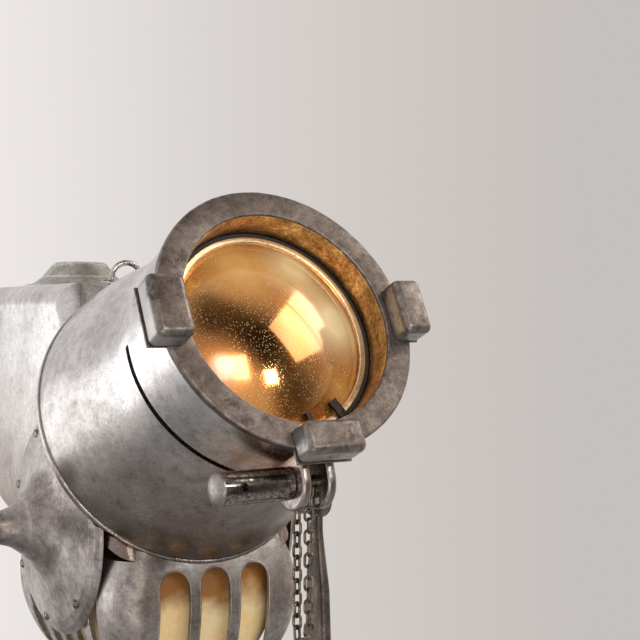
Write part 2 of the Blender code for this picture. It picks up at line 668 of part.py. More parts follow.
def build_cage_inside(head, barrel):
    """The gold liner that stands inside the cage, and the floor plate with its cable gland."""
    gap = CAGE_WALL + LINER_INSET
    levels = cage_levels(CAGE_BASE + FLOOR_WALL + GAP, HOUSING_BASE - GAP, CAGE_LEVELS)
    low, top = levels[0], levels[-1]
    outer = loft([cage_ring(z, gap) for z in levels])
    liner = piece("cage_liner", outer, head, GOLD)
    levels[0] = low - 0.001
    levels[-1] = top + 0.001
    inner = loft([cage_ring(z, gap + LINER_WALL) for z in levels])
    rim = rod(RIM_RADIUS + 2 * LINER_WALL, -RIM_BEHIND - FLANGE_LENGTH - LINER_WALL, -RIM_BEHIND + 0.060,
              ROUND_STEPS)
    cut(liner, piece("liner_room_cutter", inner, head), piece("liner_rim_cutter", rim, barrel))
    plate_top = CAGE_BASE - GAP
    plan = rounded_plan(CAGE_MOUTH_X + 0.012, CAGE_MOUTH_Y + 0.012, CAGE_CORNER - 0.004)
    plate = piece("cage_floor", slab(plan, plate_top - FLOOR_WALL, plate_top, "Z", 0.001), head, SILVER)
    bore = rod(GLAND_BORE, plate_top - 0.030, plate_top + 0.030, SMALL_STEPS)
    cut(plate, piece("gland_bore_cutter", moved(bore, (0, GLAND_BACK, 0)), head))
    neck = GLAND_BORE - GAP
    base = plate_top - FLOOR_WALL - GAP
    gland = turned([(0.0035, plate_top + 0.006), (0.0035, base - 0.016), (0.0075, base - 0.016),
                    (0.0095, base - 0.012), (0.0095, base), (neck, base), (neck, plate_top + 0.006)],
                   SMALL_STEPS)
    piece("cable_gland", moved(gland, (0, GLAND_BACK, 0)), head, RUBBER)


def build_lamp(head, barrel):
    """Inside: the post on the floor plate, the lamp holder, the bulb, the dish and its bracket."""
    centre = on_axis(LAMP_BEHIND)
    holder_top = centre[1] - BULB_RADIUS - BULB_FIT
    holder_base = holder_top - LAMP_HOLDER_LENGTH
    floor = CAGE_BASE
    place = (0, centre[0], 0)
    post = tube(LAMP_POST_RADIUS, LAMP_POST_RADIUS - LAMP_POST_WALL, floor, holder_base - GAP, SMALL_STEPS)
    piece("lamp_post", moved(post, place), head, STEEL)
    holder = rod(LAMP_HOLDER_RADIUS, holder_base, holder_top, SMALL_STEPS, edge=0.002)
    piece("lamp_holder", moved(holder, place), head, CERAMIC)
    globe = [(BULB_RADIUS * math.sin(a), centre[1] - BULB_RADIUS * math.cos(a))
             for a in (math.pi * i / 12 for i in range(4, 13))]
    neck = BULB_NECK_RADIUS
    globe = [(0, holder_top + GAP), (neck, holder_top + GAP),
             (neck + BULB_FIT, globe[0][1] - neck / 2)] + globe
    piece("bulb", moved(turned(globe, SMALL_STEPS), place), head, GLASS)
    steps = 5
    depth = DISH_RADIUS ** 2 / (4 * DISH_FOCUS)
    vertex = -LAMP_BEHIND - DISH_FOCUS - 0.006
    curve = [(DISH_RADIUS * i / steps, vertex + depth * (i / steps) ** 2) for i in range(steps + 1)]
    back = [(radius, height - DISH_WALL) for radius, height in reversed(curve)]
    dish = piece("reflector", turned(curve + back, TUBE_STEPS), barrel, GOLD)
    notch = rod(LAMP_HOLDER_RADIUS + 0.003, holder_base - 0.080, centre[1], SMALL_STEPS)
    cut(dish, piece("lamp_notch_cutter", moved(notch, place), head))
    tip = on_axis(-vertex + DISH_WALL + GAP)
    reach = (centre[0] + LAMP_POST_RADIUS + GAP, tip[1] - 0.070)
    width = 0.006
    strut = [(reach[0], reach[1]), (tip[0] + width, tip[1] - 0.012), (tip[0] + width, tip[1] - 0.004),
             (tip[0] + 0.0005, tip[1] - 0.001), (tip[0] - 0.002, tip[1] - 0.010),
             (reach[0], reach[1] + 0.016)]
    piece("reflector_bracket", slab(strut, -0.008, 0.008, "X"), head, STEEL)


def build_fittings(head, barrel):
    """Outside the housing: side cheeks with their trunnions, the vent cowl and the lifting eye."""
    inner = HOUSING_HALF_WIDTH + GAP
    end = YOKE_HALF_GAP - WASHER
    outline = [(0, inner), (CHEEK_RADIUS, inner), (CHEEK_RADIUS - 0.001, inner + 0.003),
               (CHEEK_RADIUS - 0.005, inner + CHEEK_EDGE - 0.002),
               (CHEEK_RADIUS - 0.012, inner + CHEEK_EDGE + 0.001), (0.045, inner + 0.018),
               (0.032, inner + 0.028), (0.024, inner + 0.036), (TRUNNION_RADIUS + 0.003, inner + 0.046),
               (TRUNNION_RADIUS, inner + 0.056), (TRUNNION_RADIUS, end - 0.001),
               (TRUNNION_RADIUS - 0.001, end), (PIVOT_BOLT_RADIUS + GAP, end),
               (PIVOT_BOLT_RADIUS + GAP, end - BOLT_DEPTH), (0, end - BOLT_DEPTH)]
    flange = piece("cheek_flange_cutter", turned(flange_outline(0.0005), ROUND_STEPS), barrel)
    barrel_room = rod(RIM_RADIUS + GAP, -RIM_BEHIND - GAP, 0, ROUND_STEPS)
    barrel_room = piece("cheek_barrel_cutter", barrel_room, barrel)
    for side, name in ((-1, "left"), (1, "right")):
        cheek = turned([(radius, side * x) for radius, x in outline], ROUND_STEPS, "X")
        cheek = piece("side_cheek_" + name, cheek, head, SILVER)
        cut(cheek, flange, barrel_room)
    roof = HOUSING_TOP + GAP
    foot = COWL_FOOT_RADIUS
    spread = foot - COWL_TOP_RADIUS
    cowl = [(VENT_BORE, roof), (foot, roof), (foot, roof + 0.04 * COWL_HEIGHT)]
    cowl += [(foot - spread * out, roof + COWL_HEIGHT * up)
             for out, up in ((0.36, 0.14), (0.64, 0.41), (0.90, 0.78), (1.0, 0.90))]
    cowl += [(COWL_TOP_RADIUS - 0.1 * spread, COWL_TOP), (0, COWL_TOP), (0, COWL_TOP - COWL_WALL),
             (VENT_BORE, COWL_TOP - 1.6 * COWL_WALL)]
    piece("vent_cowl", moved(turned(cowl, ROUND_STEPS), (0, VENT_BACK, 0)), head, SILVER)
    base = box((-EYE_BASE_HALF_X, EYE_BACK - EYE_BASE_HALF_Y, roof),
               (EYE_BASE_HALF_X, EYE_BACK + EYE_BASE_HALF_Y, roof + EYE_BASE_HEIGHT), EYE_BASE_HEIGHT / 3)
    eye = piece("lifting_eye", base, head, STEEL)
    middle = roof + EYE_CENTRE_HEIGHT
    sweep = turned(arc((EYE_RADIUS - EYE_WIRE, 0), EYE_WIRE, 0, math.tau * 7 / 8, 7), TUBE_STEPS, "Y")
    hoop = piece("eye_hoop_shape", moved(sweep, (0, EYE_BACK, middle)), head)
    reach = 2 * EYE_RADIUS
    below = box((-reach, EYE_BACK - reach, middle - 2 * reach),
                (reach, EYE_BACK + reach, roof + EYE_BASE_HEIGHT / 2))
    below = piece("eye_trim_cutter", below, head)
    cut(hoop, below)
    join(eye, hoop)


def build_rear_door(head):
    """The rear door on its side hinge, with a fixed pull knob."""
    face = HOUSING_REAR + GAP
    axis_x = -DOOR_HALF_WIDTH - HINGE_RADIUS - 0.001
    axis_y = face + HINGE_RADIUS
    axis = empty("door_axis", (axis_x, axis_y, 0), head)
    outline = [(-DOOR_HALF_WIDTH - axis_x, DOOR_BASE), (DOOR_HALF_WIDTH - axis_x, DOOR_BASE),
               (DOOR_HALF_WIDTH - axis_x, DOOR_TOP), (-DOOR_HALF_WIDTH - axis_x, DOOR_TOP)]
    door = slab(outline, face - axis_y, face - axis_y + DOOR_WALL, "Y", 0.001)
    door = piece("rear_door", door, axis, SILVER)
    third = (DOOR_TOP - DOOR_BASE) / 3
    knuckle = tube(HINGE_RADIUS, HINGE_PIN_RADIUS + GAP / 2, DOOR_BASE + third + GAP,
                   DOOR_BASE + 2 * third - GAP, TINY_STEPS)
    knuckle = piece("door_knuckle_shape", knuckle, axis)
    strap = box((0.0024, -HINGE_RADIUS + 0.0005, DOOR_BASE + third + 2 * GAP),
                (HINGE_RADIUS + 0.003, -HINGE_RADIUS + 0.003, DOOR_BASE + 2 * third - 2 * GAP))
    join(door, piece("door_strap_shape", strap, axis), knuckle)
    leaf = box((-0.017, 0.0001 - HINGE_RADIUS, DOOR_BASE + GAP),
               (-0.0024, 0.0025 - HINGE_RADIUS, DOOR_TOP - GAP))
    leaf = piece("door_hinge", leaf, axis, STEEL)
    for i, low in enumerate((DOOR_BASE, DOOR_BASE + 2 * third)):
        part = tube(HINGE_RADIUS - GAP, HINGE_PIN_RADIUS + GAP / 2, low, low + third, TINY_STEPS)
        join(leaf, piece(f"leaf_knuckle_{i + 1}_shape", part, axis))
    room = rod(HINGE_RADIUS + 2 * GAP, DOOR_BASE + third - GAP, DOOR_BASE + 2 * third + GAP, TINY_STEPS)
    cut(leaf, piece("leaf_room_cutter", room, axis))
    bore = rod(HINGE_PIN_RADIUS + GAP, DOOR_BASE - 0.010, DOOR_TOP + 0.010, TINY_STEPS)
    bore = piece("hinge_bore_cutter", bore, axis)
    cut(leaf, bore)
    cut(door, bore)
    top = DOOR_TOP + GAP
    pin = turned([(0, DOOR_BASE - 0.001), (HINGE_PIN_RADIUS, DOOR_BASE - 0.001),
                  (HINGE_PIN_RADIUS, top), (HINGE_RADIUS - 0.001, top),
                  (HINGE_RADIUS - 0.001, top + 0.002), (0, top + 0.002)], TINY_STEPS)
    piece("door_hinge_pin", pin, axis, BRIGHT)
    out = face - axis_y + DOOR_WALL + GAP
    shares = ((0.0, 0.0), (0.57, 0.0), (0.43, 0.29), (0.86, 0.52), (1.0, 0.76), (0.76, 0.95), (0.0, 1.0))
    knob = turned([(wide * DOOR_KNOB_RADIUS, out + far * DOOR_KNOB_LENGTH) for wide, far in shares],
                  SMALL_STEPS, "Y")
    place = (DOOR_HALF_WIDTH - DOOR_KNOB_INSET - axis_x, 0, (DOOR_BASE + DOOR_TOP) / 2)
    piece("door_knob", moved(knob, place), axis, BRIGHT)


def yoke_section(height):
    """Half width along Y and thickness of a yoke arm at a height from the pivot."""
    neck = -0.032
    full = -0.092
    share = min(1.0, max(0.0, (neck - height) / (neck - full)))
    half = YOKE_NECK_HALF + (YOKE_ARM_HALF - YOKE_NECK_HALF) * share
    low_share = min(1.0, max(0.0, (full - height) / (full + YOKE_DROP)))
    half += (YOKE_BAR_HALF - YOKE_ARM_HALF) * low_share
    return half, YOKE_THIN + (YOKE_THICK - YOKE_THIN) * share


def yoke_ring(place, outward, half, thick):
    """An eight-sided section whose inner face passes through place."""
    ease = 0.3 * thick
    corners = [(0.0, half - ease), (ease, half), (thick - ease, half), (thick, half - ease)]
    corners += [(deep, -wide) for deep, wide in reversed(corners)]
    return [(place[0] + outward[0] * deep, wide, place[1] + outward[1] * deep) for deep, wide in corners]


def build_yoke(pan):
    """The U-shaped yoke: tapered arms with round bosses and a crossbar."""
    rings = []
    heights = (0.0, -0.032, -0.052, -0.072, -0.092, -0.140, -YOKE_DROP + YOKE_BEND)
    for height in heights:
        half, thick = yoke_section(height)
        rings.append(yoke_ring((YOKE_HALF_GAP, height), (1, 0), half, thick))
    centre = (YOKE_HALF_GAP - YOKE_BEND, -YOKE_DROP + YOKE_BEND)
    for i in range(1, 7):
        angle = -math.pi / 2 * i / 6
        outward = (math.cos(angle), math.sin(angle))
        place = (centre[0] + YOKE_BEND * outward[0], centre[1] + YOKE_BEND * outward[1])
        rings.append(yoke_ring(place, outward, YOKE_BAR_HALF, YOKE_THICK))
    mirrored = [[(-x, y, z) for x, y, z in ring] for ring in reversed(rings)]
    yoke = piece("yoke", loft(rings + mirrored), pan, CAST)
    for side in (-1, 1):
        low, high = sorted((side * YOKE_HALF_GAP, side * (YOKE_HALF_GAP + YOKE_THICK)))
        boss = rod(YOKE_BOSS_RADIUS, low - GAP, high, TUBE_STEPS, "X", 0.0015)
        join(yoke, piece(f"yoke_boss_{side + 2}_shape", boss, pan))
    bore = rod(PIVOT_BOLT_RADIUS + GAP, -0.25, 0.25, SMALL_STEPS, "X")
    spindle = rod(SPINDLE_RADIUS - 0.004 + GAP, -YOKE_DROP - 0.030, -YOKE_DROP + 0.030, SMALL_STEPS)
    cut(yoke, piece("pivot_bore_cutter", bore, pan), piece("spindle_bore_cutter", spindle, pan))
    outer = YOKE_HALF_GAP + YOKE_THICK + GAP
    for side, name in ((-1, "left"), (1, "right")):
        washer = tube(YOKE_BOSS_RADIUS - 0.003, PIVOT_BOLT_RADIUS + GAP, YOKE_HALF_GAP - WASHER + GAP,
                      YOKE_HALF_GAP - 2 * GAP, SMALL_STEPS)
        turn = 0.0 if side > 0 else math.pi
        washer = moved(moved(washer, turn=math.pi / 2, about="Y"), turn=turn)
        piece("tilt_washer_" + name, washer, pan, RUBBER)
    shank_end = YOKE_HALF_GAP - WASHER - BOLT_DEPTH + 0.002
    bolt = turned([(0, shank_end), (PIVOT_BOLT_RADIUS, shank_end), (PIVOT_BOLT_RADIUS, outer),
                   (0.0095, outer), (0.0095, outer + 0.003), (0.0085, outer + 0.004), (0, outer + 0.004)],
                  SMALL_STEPS, "X")
    piece("pivot_bolt", bolt, pan, BRIGHT)
    build_knob("tilt_knob", pan, (0, 0, 0), "-X", outer, TILT_KNOB_RADIUS, PIVOT_BOLT_RADIUS, shank_end)


def build_knob(name, parent, place, direction, seat, radius, shank, tip):
    """A five-lobed hand knob on a screw. The seat and tip are distances along its axis."""
    axis = empty(name + "_axis", place, parent)
    depth = 0.016
    neck = radius * 0.45
    outline = []
    lobes = 5
    for i in range(lobes * 4):
        angle = math.tau * i / (lobes * 4)
        reach = radius * (0.90 + 0.10 * math.cos(lobes * angle))
        outline.append((reach * math.cos(angle), reach * math.sin(angle)))
    head = slab(outline, seat + 0.008, seat + 0.008 + depth, "Z", 0.002)
    stem = turned([(0, tip), (shank, tip), (shank, seat), (neck, seat), (neck * 0.9, seat + 0.012),
                   (0, seat + 0.012)], SMALL_STEPS)
    turns = {"-X": (-math.pi / 2, "Y"), "+X": (math.pi / 2, "Y"), "+Y": (-math.pi / 2, "X"),
             "-Y": (math.pi / 2, "X")}
    turn, about = turns[direction]
    knob = piece(name, moved(head, turn=turn, about=about), axis, RUBBER)
    join(knob, piece(name + "_stem_shape", moved(stem, turn=turn, about=about), axis))


def build_swivel(pan, slide):
    """The spindle under the yoke, and the socket on the inner tube that it turns in."""
    bar_top = -YOKE_DROP
    bar_base = bar_top - YOKE_THICK
    neck = SPINDLE_RADIUS - 0.004
    tip = SOCKET_TOP - SOCKET_LENGTH + 0.014
    spindle = turned([(0, tip), (SPINDLE_RADIUS - 0.001, tip), (SPINDLE_RADIUS, tip + 0.001),
                      (SPINDLE_RADIUS, bar_base - GAP), (neck, bar_base - GAP), (neck, bar_top + GAP),
                      (0.013, bar_top + GAP), (0.013, bar_top + 0.006), (0.0115, bar_top + 0.0075),
                      (0, bar_top + 0.0075)], SMALL_STEPS)
    piece("pan_spindle", spindle, pan, BRIGHT)
    piece("thrust_washer", tube(SOCKET_RADIUS - 0.003, SPINDLE_RADIUS + GAP, SOCKET_TOP + GAP,
                                bar_base - GAP, SMALL_STEPS), pan, BRASS)
    base = SOCKET_TOP - SOCKET_LENGTH
    spigot = INNER_TUBE_RADIUS - TUBE_WALL - GAP
    floor = tip - 0.001
    socket = turned([(0, base - 0.030), (spigot, base - 0.030), (spigot, base),
                     (SOCKET_RADIUS - 0.006, base), (SOCKET_RADIUS, base + 0.010),
                     (SOCKET_RADIUS, SOCKET_TOP - 0.0015), (SOCKET_RADIUS - 0.0015, SOCKET_TOP),
                     (SPINDLE_RADIUS + GAP, SOCKET_TOP), (SPINDLE_RADIUS + GAP, floor), (0, floor)],
                    TUBE_STEPS)
    socket = piece("swivel_socket", socket, pan_frame(slide), CAST)
    middle = SOCKET_TOP - SOCKET_LENGTH / 2 + 0.006
    bore = moved(rod(PAN_SCREW_RADIUS + GAP, 0, 0.05, SMALL_STEPS, "Y"), (0, 0, middle))
    cut(socket, piece("pan_screw_cutter", bore, socket.parent))
    build_knob("pan_lock_knob", socket.parent, (0, 0, middle), "+Y", SOCKET_RADIUS + GAP, KNOB_RADIUS,
               PAN_SCREW_RADIUS, SPINDLE_RADIUS + GAP)
    top = base - GAP
    inner = tube(INNER_TUBE_RADIUS, INNER_TUBE_RADIUS - TUBE_WALL, top - INNER_TUBE_LENGTH, top, TUBE_STEPS)
    piece("inner_column", inner, socket.parent, BRIGHT)


def pan_frame(slide):
    """The swivel's still half is measured from the pivot too."""
    return empty("slide_pivot", (0, 0, PIVOT_HEIGHT), slide)


def build_column(stand):
    """The outer tube with its end cap, and the clamp that holds the inner tube."""
    bore = INNER_TUBE_RADIUS + TUBE_FIT
    piece("outer_column", tube(COLUMN_RADIUS, bore, COLUMN_BASE, COLUMN_TOP, TUBE_STEPS), stand, BRIGHT)
    cap = turned([(0, COLUMN_BASE - 0.008), (COLUMN_RADIUS - 0.002, COLUMN_BASE - 0.008),
                  (COLUMN_RADIUS, COLUMN_BASE - 0.005), (COLUMN_RADIUS, COLUMN_BASE - GAP),
                  (bore - GAP, COLUMN_BASE - GAP), (bore - GAP, COLUMN_BASE + 0.012),
                  (0, COLUMN_BASE + 0.012)], TUBE_STEPS)
    piece("column_cap", cap, stand, RUBBER)
    top = COLUMN_TOP + CLAMP_LIP
    low = top - CLAMP_LENGTH
    outline = [(COLUMN_RADIUS + GAP, low), (CLAMP_RADIUS - 0.002, low), (CLAMP_RADIUS, low + 0.002),
               (CLAMP_RADIUS, top - 0.003), (CLAMP_RADIUS - 0.003, top), (bore, top),
               (bore, COLUMN_TOP + GAP), (COLUMN_RADIUS + GAP, COLUMN_TOP + GAP)]
    clamp = piece("column_clamp", turned(outline, TUBE_STEPS), stand, CAST)
    middle = COLUMN_TOP + CLAMP_LIP / 2
    boss = rod(0.0065, CLAMP_RADIUS - 0.004, CLAMP_RADIUS + 0.005, SMALL_STEPS, "Y")
    join(clamp, piece("clamp_boss_shape", moved(boss, (0, 0, middle)), stand))
    hole = moved(rod(CLAMP_SCREW_RADIUS + GAP, 0.010, 0.06, SMALL_STEPS, "Y"), (0, 0, middle))
    cut(clamp, piece("clamp_screw_cutter", hole, stand))
    build_knob("clamp_knob", stand, (0, 0, middle), "+Y", CLAMP_RADIUS + 0.005 + GAP, KNOB_RADIUS,
               CLAMP_SCREW_RADIUS, INNER_TUBE_RADIUS + TUBE_FIT)


def build_crown(stand):
    """The hub that holds the column, with a pair of ears for each leg."""
    low = LEG_HINGE_HEIGHT - CROWN_HALF_HEIGHT
    high = LEG_HINGE_HEIGHT + CROWN_HALF_HEIGHT
    bore = COLUMN_RADIUS + GAP
    outline = [(bore, low), (CROWN_RADIUS - 0.003, low), (CROWN_RADIUS, low + 0.003),
               (CROWN_RADIUS, high - 0.003), (CROWN_RADIUS - 0.003, high), (bore, high)]
    crown = piece("crown", turned(outline, TUBE_STEPS), stand, CAST)
    root = (bore + CROWN_RADIUS) / 2
    centre = (LEG_HINGE_REACH, 0)
    ear = arc(centre, LEG_EYE_RADIUS, -math.pi / 2, math.pi / 2, 8)
    ear += [(root, CROWN_HALF_HEIGHT - 0.008), (root, 0.004 - CROWN_HALF_HEIGHT)]
    inner = LEG_EYE_WIDTH / 2 + GAP
    for number, angle in enumerate(LEG_ANGLES, 1):
        frame = empty(f"leg_{number}_frame", (0, 0, LEG_HINGE_HEIGHT), stand, (0, 0, angle))
        hinge = empty(f"leg_{number}_axis", (LEG_HINGE_REACH, 0, 0), frame)
        for side in (-1, 1):
            wall_low, wall_high = sorted((side * inner, side * (inner + LEG_EAR_WALL)))
            wall = slab(ear, wall_low, wall_high, "Y")
            join(crown, piece(f"ear_{number}_{side + 2}_shape", wall, frame))
        bolt_bore = rod(LEG_PIN_RADIUS + GAP, -0.04, 0.04, TINY_STEPS, "Y")
        cut(crown, piece(f"leg_bore_cutter_{number}", bolt_bore, hinge))
        seat = inner + LEG_EAR_WALL + GAP
        bolt = turned([(0, -seat - 0.004), (0.007, -seat - 0.004), (0.007, -seat), (LEG_PIN_RADIUS, -seat),
                       (LEG_PIN_RADIUS, seat), (0.0065, seat), (0.0065, seat + 0.005), (0, seat + 0.005)],
                      TINY_STEPS, "Y")
        piece(f"leg_pin_{number}", bolt, hinge, BRIGHT)
        build_leg(number, hinge)


def build_leg(number, hinge):
    """One leg: the fitting with its stop heel, the tube and the rubber foot, cut flat on the floor."""
    half = LEG_EYE_WIDTH / 2
    heel_reach = LEG_HINGE_REACH - CROWN_RADIUS - GAP
    heel_top = 0.011
    outline = arc((0, 0), LEG_EYE_RADIUS - 0.001, -math.pi, math.pi * 0.35, 10)
    outline += [(0, heel_top + 0.001), (-heel_reach, heel_top), (-heel_reach, 0.002)]
    top = piece(f"leg_top_{number}", slab(outline, -half, half, "Y"), hinge, CAST)
    along = empty(f"leg_{number}_line", (0, 0, 0), hinge, (0, math.pi - LEG_LEAN, 0))
    socket_radius = LEG_TUBE_RADIUS + 0.0035
    socket = rod(socket_radius, 0.006, LEG_SOCKET_LENGTH, SMALL_STEPS, edge=0.0015)
    join(top, piece(f"leg_socket_{number}_shape", socket, along))
    start = LEG_EYE_RADIUS + 0.004
    bore = rod(LEG_TUBE_RADIUS + GAP, start - GAP, LEG_SOCKET_LENGTH + 0.02, SMALL_STEPS)
    eye = rod(LEG_PIN_RADIUS + GAP, -0.05, 0.05, SMALL_STEPS, "Y")
    cut(top, piece(f"leg_socket_bore_{number}_cutter", bore, along),
        piece(f"leg_eye_bore_{number}_cutter", eye, hinge))
    for side in (-1, 1):
        low, high = sorted((side * half, side * (half + 0.02)))
        side_box = box((-0.05, low, -LEG_EYE_RADIUS - 0.008), (0.05, high, 0.05))
        cut(top, piece(f"leg_trim_{number}_{side + 2}_cutter", side_box, hinge))
    length = LEG_HINGE_HEIGHT / math.cos(LEG_LEAN)
    tube_end = length - FOOT_SOLE
    leg = tube(LEG_TUBE_RADIUS, LEG_TUBE_RADIUS - TUBE_WALL, start, tube_end, SMALL_STEPS)
    piece(f"leg_tube_{number}", leg, along, BRIGHT)
    mouth = length - FOOT_LENGTH
    boot = turned([(0, tube_end + GAP), (LEG_TUBE_RADIUS + GAP, tube_end + GAP),
                   (LEG_TUBE_RADIUS + GAP, mouth), (LEG_TUBE_RADIUS + 0.0035, mouth),
                   (LEG_TUBE_RADIUS + 0.0045, mouth + 0.002), (FOOT_RADIUS, length - 0.016),
                   (FOOT_RADIUS, length + 0.016), (0, length + 0.016)], SMALL_STEPS)
    foot = piece(f"foot_{number}", boot, along, RUBBER)
    floor = box((-0.2, -0.1, -LEG_HINGE_HEIGHT - 0.1), (0.2, 0.1, -LEG_HINGE_HEIGHT))
    floor = piece(f"floor_cutter_{number}", moved(floor, (FOOT_REACH - LEG_HINGE_REACH, 0, 0)), hinge)
    cut(foot, floor)


def footprint_shift():
    """How far the column stands behind the middle of the whole lamp, front to back."""
    spread = FOOT_RADIUS / math.cos(LEG_LEAN)
    front = FOOT_REACH + spread
    rear = max(HOUSING_REAR + GAP + DOOR_WALL + GAP + DOOR_KNOB_LENGTH,
               FOOT_REACH * math.sin(LEG_ANGLES[1]) + spread)
    return (front - rear) / 2


def build_lamp_stand():
    clear_scene()
    root = empty("root", (0, footprint_shift(), 0))
    stand = empty("stand", (0, 0, 0), root)
    slide = empty("column_slide", (0, 0, 0), root)
    pan = empty("pan_axis", (0, 0, PIVOT_HEIGHT), root)
    head = empty("tilt_axis", (0, 0, 0), pan)
    barrel = empty("optical_axis", (0, -RING_AHEAD, RING_ABOVE), head, (math.pi / 2 - BARREL_TILT, 0, 0))
    build_front_ring(barrel)
    build_lugs(barrel)
    build_lens_cell(barrel)
    build_barrel(barrel)
    build_pull_pin(barrel)
    build_chain(barrel)
    build_housing(head, barrel)
    build_cage(head, barrel)
    build_cage_inside(head, barrel)
    build_lamp(head, barrel)
    build_fittings(head, barrel)
    build_rear_door(head)
    build_yoke(pan)
    build_swivel(pan, slide)
    build_column(stand)
    build_crown(stand)


build_lamp_stand()
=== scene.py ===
"""The spotlight floor lamp, dressed for its picture: smooth castings, worn metal, glass and chain.

Metres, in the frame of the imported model: +Z up, the lens faces -Y. Pieces are drawn about the tilt pivot,
the middle of the front ring or the column, and their place is then put into their mesh.
"""
import json
import math

import bmesh
import bpy
from mathutils import Matrix, Vector, noise


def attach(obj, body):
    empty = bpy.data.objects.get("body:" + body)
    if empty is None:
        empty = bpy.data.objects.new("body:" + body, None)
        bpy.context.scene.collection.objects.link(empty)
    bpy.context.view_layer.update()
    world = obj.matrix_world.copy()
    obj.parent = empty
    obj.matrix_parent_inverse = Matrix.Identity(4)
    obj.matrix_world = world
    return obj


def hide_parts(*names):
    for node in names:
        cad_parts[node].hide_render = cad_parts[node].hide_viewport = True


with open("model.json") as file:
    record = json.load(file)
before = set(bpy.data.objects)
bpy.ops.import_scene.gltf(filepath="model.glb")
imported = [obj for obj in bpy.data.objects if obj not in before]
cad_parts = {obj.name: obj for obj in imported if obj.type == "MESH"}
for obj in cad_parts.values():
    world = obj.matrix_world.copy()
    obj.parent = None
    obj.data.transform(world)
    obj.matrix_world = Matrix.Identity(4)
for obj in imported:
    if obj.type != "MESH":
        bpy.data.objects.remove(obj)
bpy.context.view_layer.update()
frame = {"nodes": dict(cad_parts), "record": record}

GAP = 0.0003

# Places that the pieces are drawn from
PIVOT = Vector((0, 0.091488, 1.400))
BARREL_TILT = math.radians(26.6)
RING_AHEAD = 0.240
RING_ABOVE = 0.183
RING_CENTRE = PIVOT + Vector((0, -RING_AHEAD, RING_ABOVE))
SIDEWAYS = Vector((1, 0, 0))
UPWARD = Vector((0, math.sin(BARREL_TILT), math.cos(BARREL_TILT)))
FORWARD = Vector((0, -math.cos(BARREL_TILT), math.sin(BARREL_TILT)))


def axes(place, x, y, z):
    turn = Matrix((x, y, z)).transposed().to_4x4()
    return Matrix.Translation(place) @ turn


HERE = Matrix.Identity(4)
HEAD = Matrix.Translation(PIVOT)
BARREL = axes(RING_CENTRE, SIDEWAYS, UPWARD, FORWARD)
COLUMN = Matrix.Translation((PIVOT.x, PIVOT.y, 0))

# Sizes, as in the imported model
RING_RADIUS, RING_BORE, RING_FLANGE, RING_DEPTH = 0.110, 0.0888, 0.006, 0.028
LUG_WIDTH, LUG_INNER, LUG_OUTER, LUG_AHEAD, LUG_BEHIND = 0.050, 0.093, 0.123, 0.020, 0.0035
SLEEVE_RADIUS, SLEEVE_END, SLEEVE_SHOULDER = 0.098, 0.095, 0.081
GASKET_WALL, RETAINER_BORE, LENS_EDGE, LENS_CROWN, CELL_DEPTH = 0.0032, 0.0800, 0.005, 0.018, 0.010
COLLAR_RADIUS, COLLAR_LENGTH, RIM_RADIUS, RIM_BEHIND, RIM_BEAD = 0.107, 0.075, 0.1325, 0.2033, 0.0045
BARREL_WALL, SLOT_BEHIND, SLOT_WIDTH = 0.004, 0.0665, 0.0055
SLOT_START, SLOT_END = math.radians(176), math.radians(256)
CLEVIS_BEHIND, CLEVIS_BELOW, CLEVIS_RADIUS = 0.036, 0.122, 0.021
CLEVIS_HALF_WIDTH, CLEVIS_HALF_GAP = 0.015, 0.007
PIN_RADIUS, PIN_LENGTH, PIN_STEM = 0.0125, 0.065, 0.0048
CHAIN_DROP, CHAIN_LEFT, CHAIN_RIGHT = 0.122, 0.0075, 0.0030
HOUSING_HALF, HOUSING_REAR, HOUSING_TOP, HOUSING_BASE = 0.090, 0.245, 0.213, -0.0187
HOUSING_WALL, HOUSING_EDGE, BELLY_HEIGHT = 0.004, 0.022, 0.105
ROOF = HOUSING_TOP + GAP
FLANGE_RADIUS, FLANGE_LENGTH, LIGHT_BORE = 0.130, 0.007, 0.080
DOOR_HALF, DOOR_BASE, DOOR_TOP, DOOR_LAP, DOOR_WALL = 0.060, 0.100, 0.190, 0.008, 0.004
HINGE_RADIUS, HINGE_PIN = 0.0045, 0.0016
VENT_BACK, VENT_BORE, COWL_TOP = 0.175, 0.020, 0.239
CAGE_HALF, CAGE_CORNER, CAGE_WALL, CAGE_BASE = 0.123, 0.025, 0.005, -0.142
CAGE_TOP = HOUSING_BASE - GAP
BULGE_RADIUS, BULGE_HEIGHT = 0.120, -0.059
CAGE_SLOT_WIDTH, CAGE_SLOT_PITCH, CAGE_SLOT_TOP, CAGE_SLOT_BASE = 0.0294, 0.038, -0.029, -0.126
SIDE_SLOT_WIDTH, SIDE_SLOT_PITCH, SIDE_SLOT_TOP = 0.022, 0.0349, -0.040
CAGE_MOUTH_X, CAGE_MOUTH_Y, LINER_INSET, LINER_WALL, FLOOR_WALL = 0.034, 0.062, 0.009, 0.0015, 0.004
GLAND_BORE, GLAND_BACK = 0.0065, 0.045
CHEEK_RADIUS, CHEEK_EDGE, TRUNNION_RADIUS = 0.097, 0.008, 0.014
WASHER, BOLT_DEPTH, BOLT_RADIUS = 0.005, 0.016, 0.005
EYE_BACK, EYE_RADIUS, EYE_WIRE = 0.058, 0.0185, 0.0027
YOKE_HALF_GAP, YOKE_DROP, YOKE_THIN, YOKE_THICK = 0.177, 0.225, 0.007, 0.011
YOKE_NECK, YOKE_ARM, YOKE_BAR, YOKE_BEND, YOKE_BOSS = 0.008, 0.015, 0.022, 0.036, 0.019
YOKE_WIDENS, YOKE_FULL, YOKE_HOLE = -0.032, -0.092, 0.0083
LAMP_BEHIND, LAMP_POST, LAMP_HOLDER, BULB_RADIUS = 0.285, 0.009, 0.017, 0.024
DISH_RADIUS, DISH_FOCUS, DISH_WALL = 0.060, 0.030, 0.0015
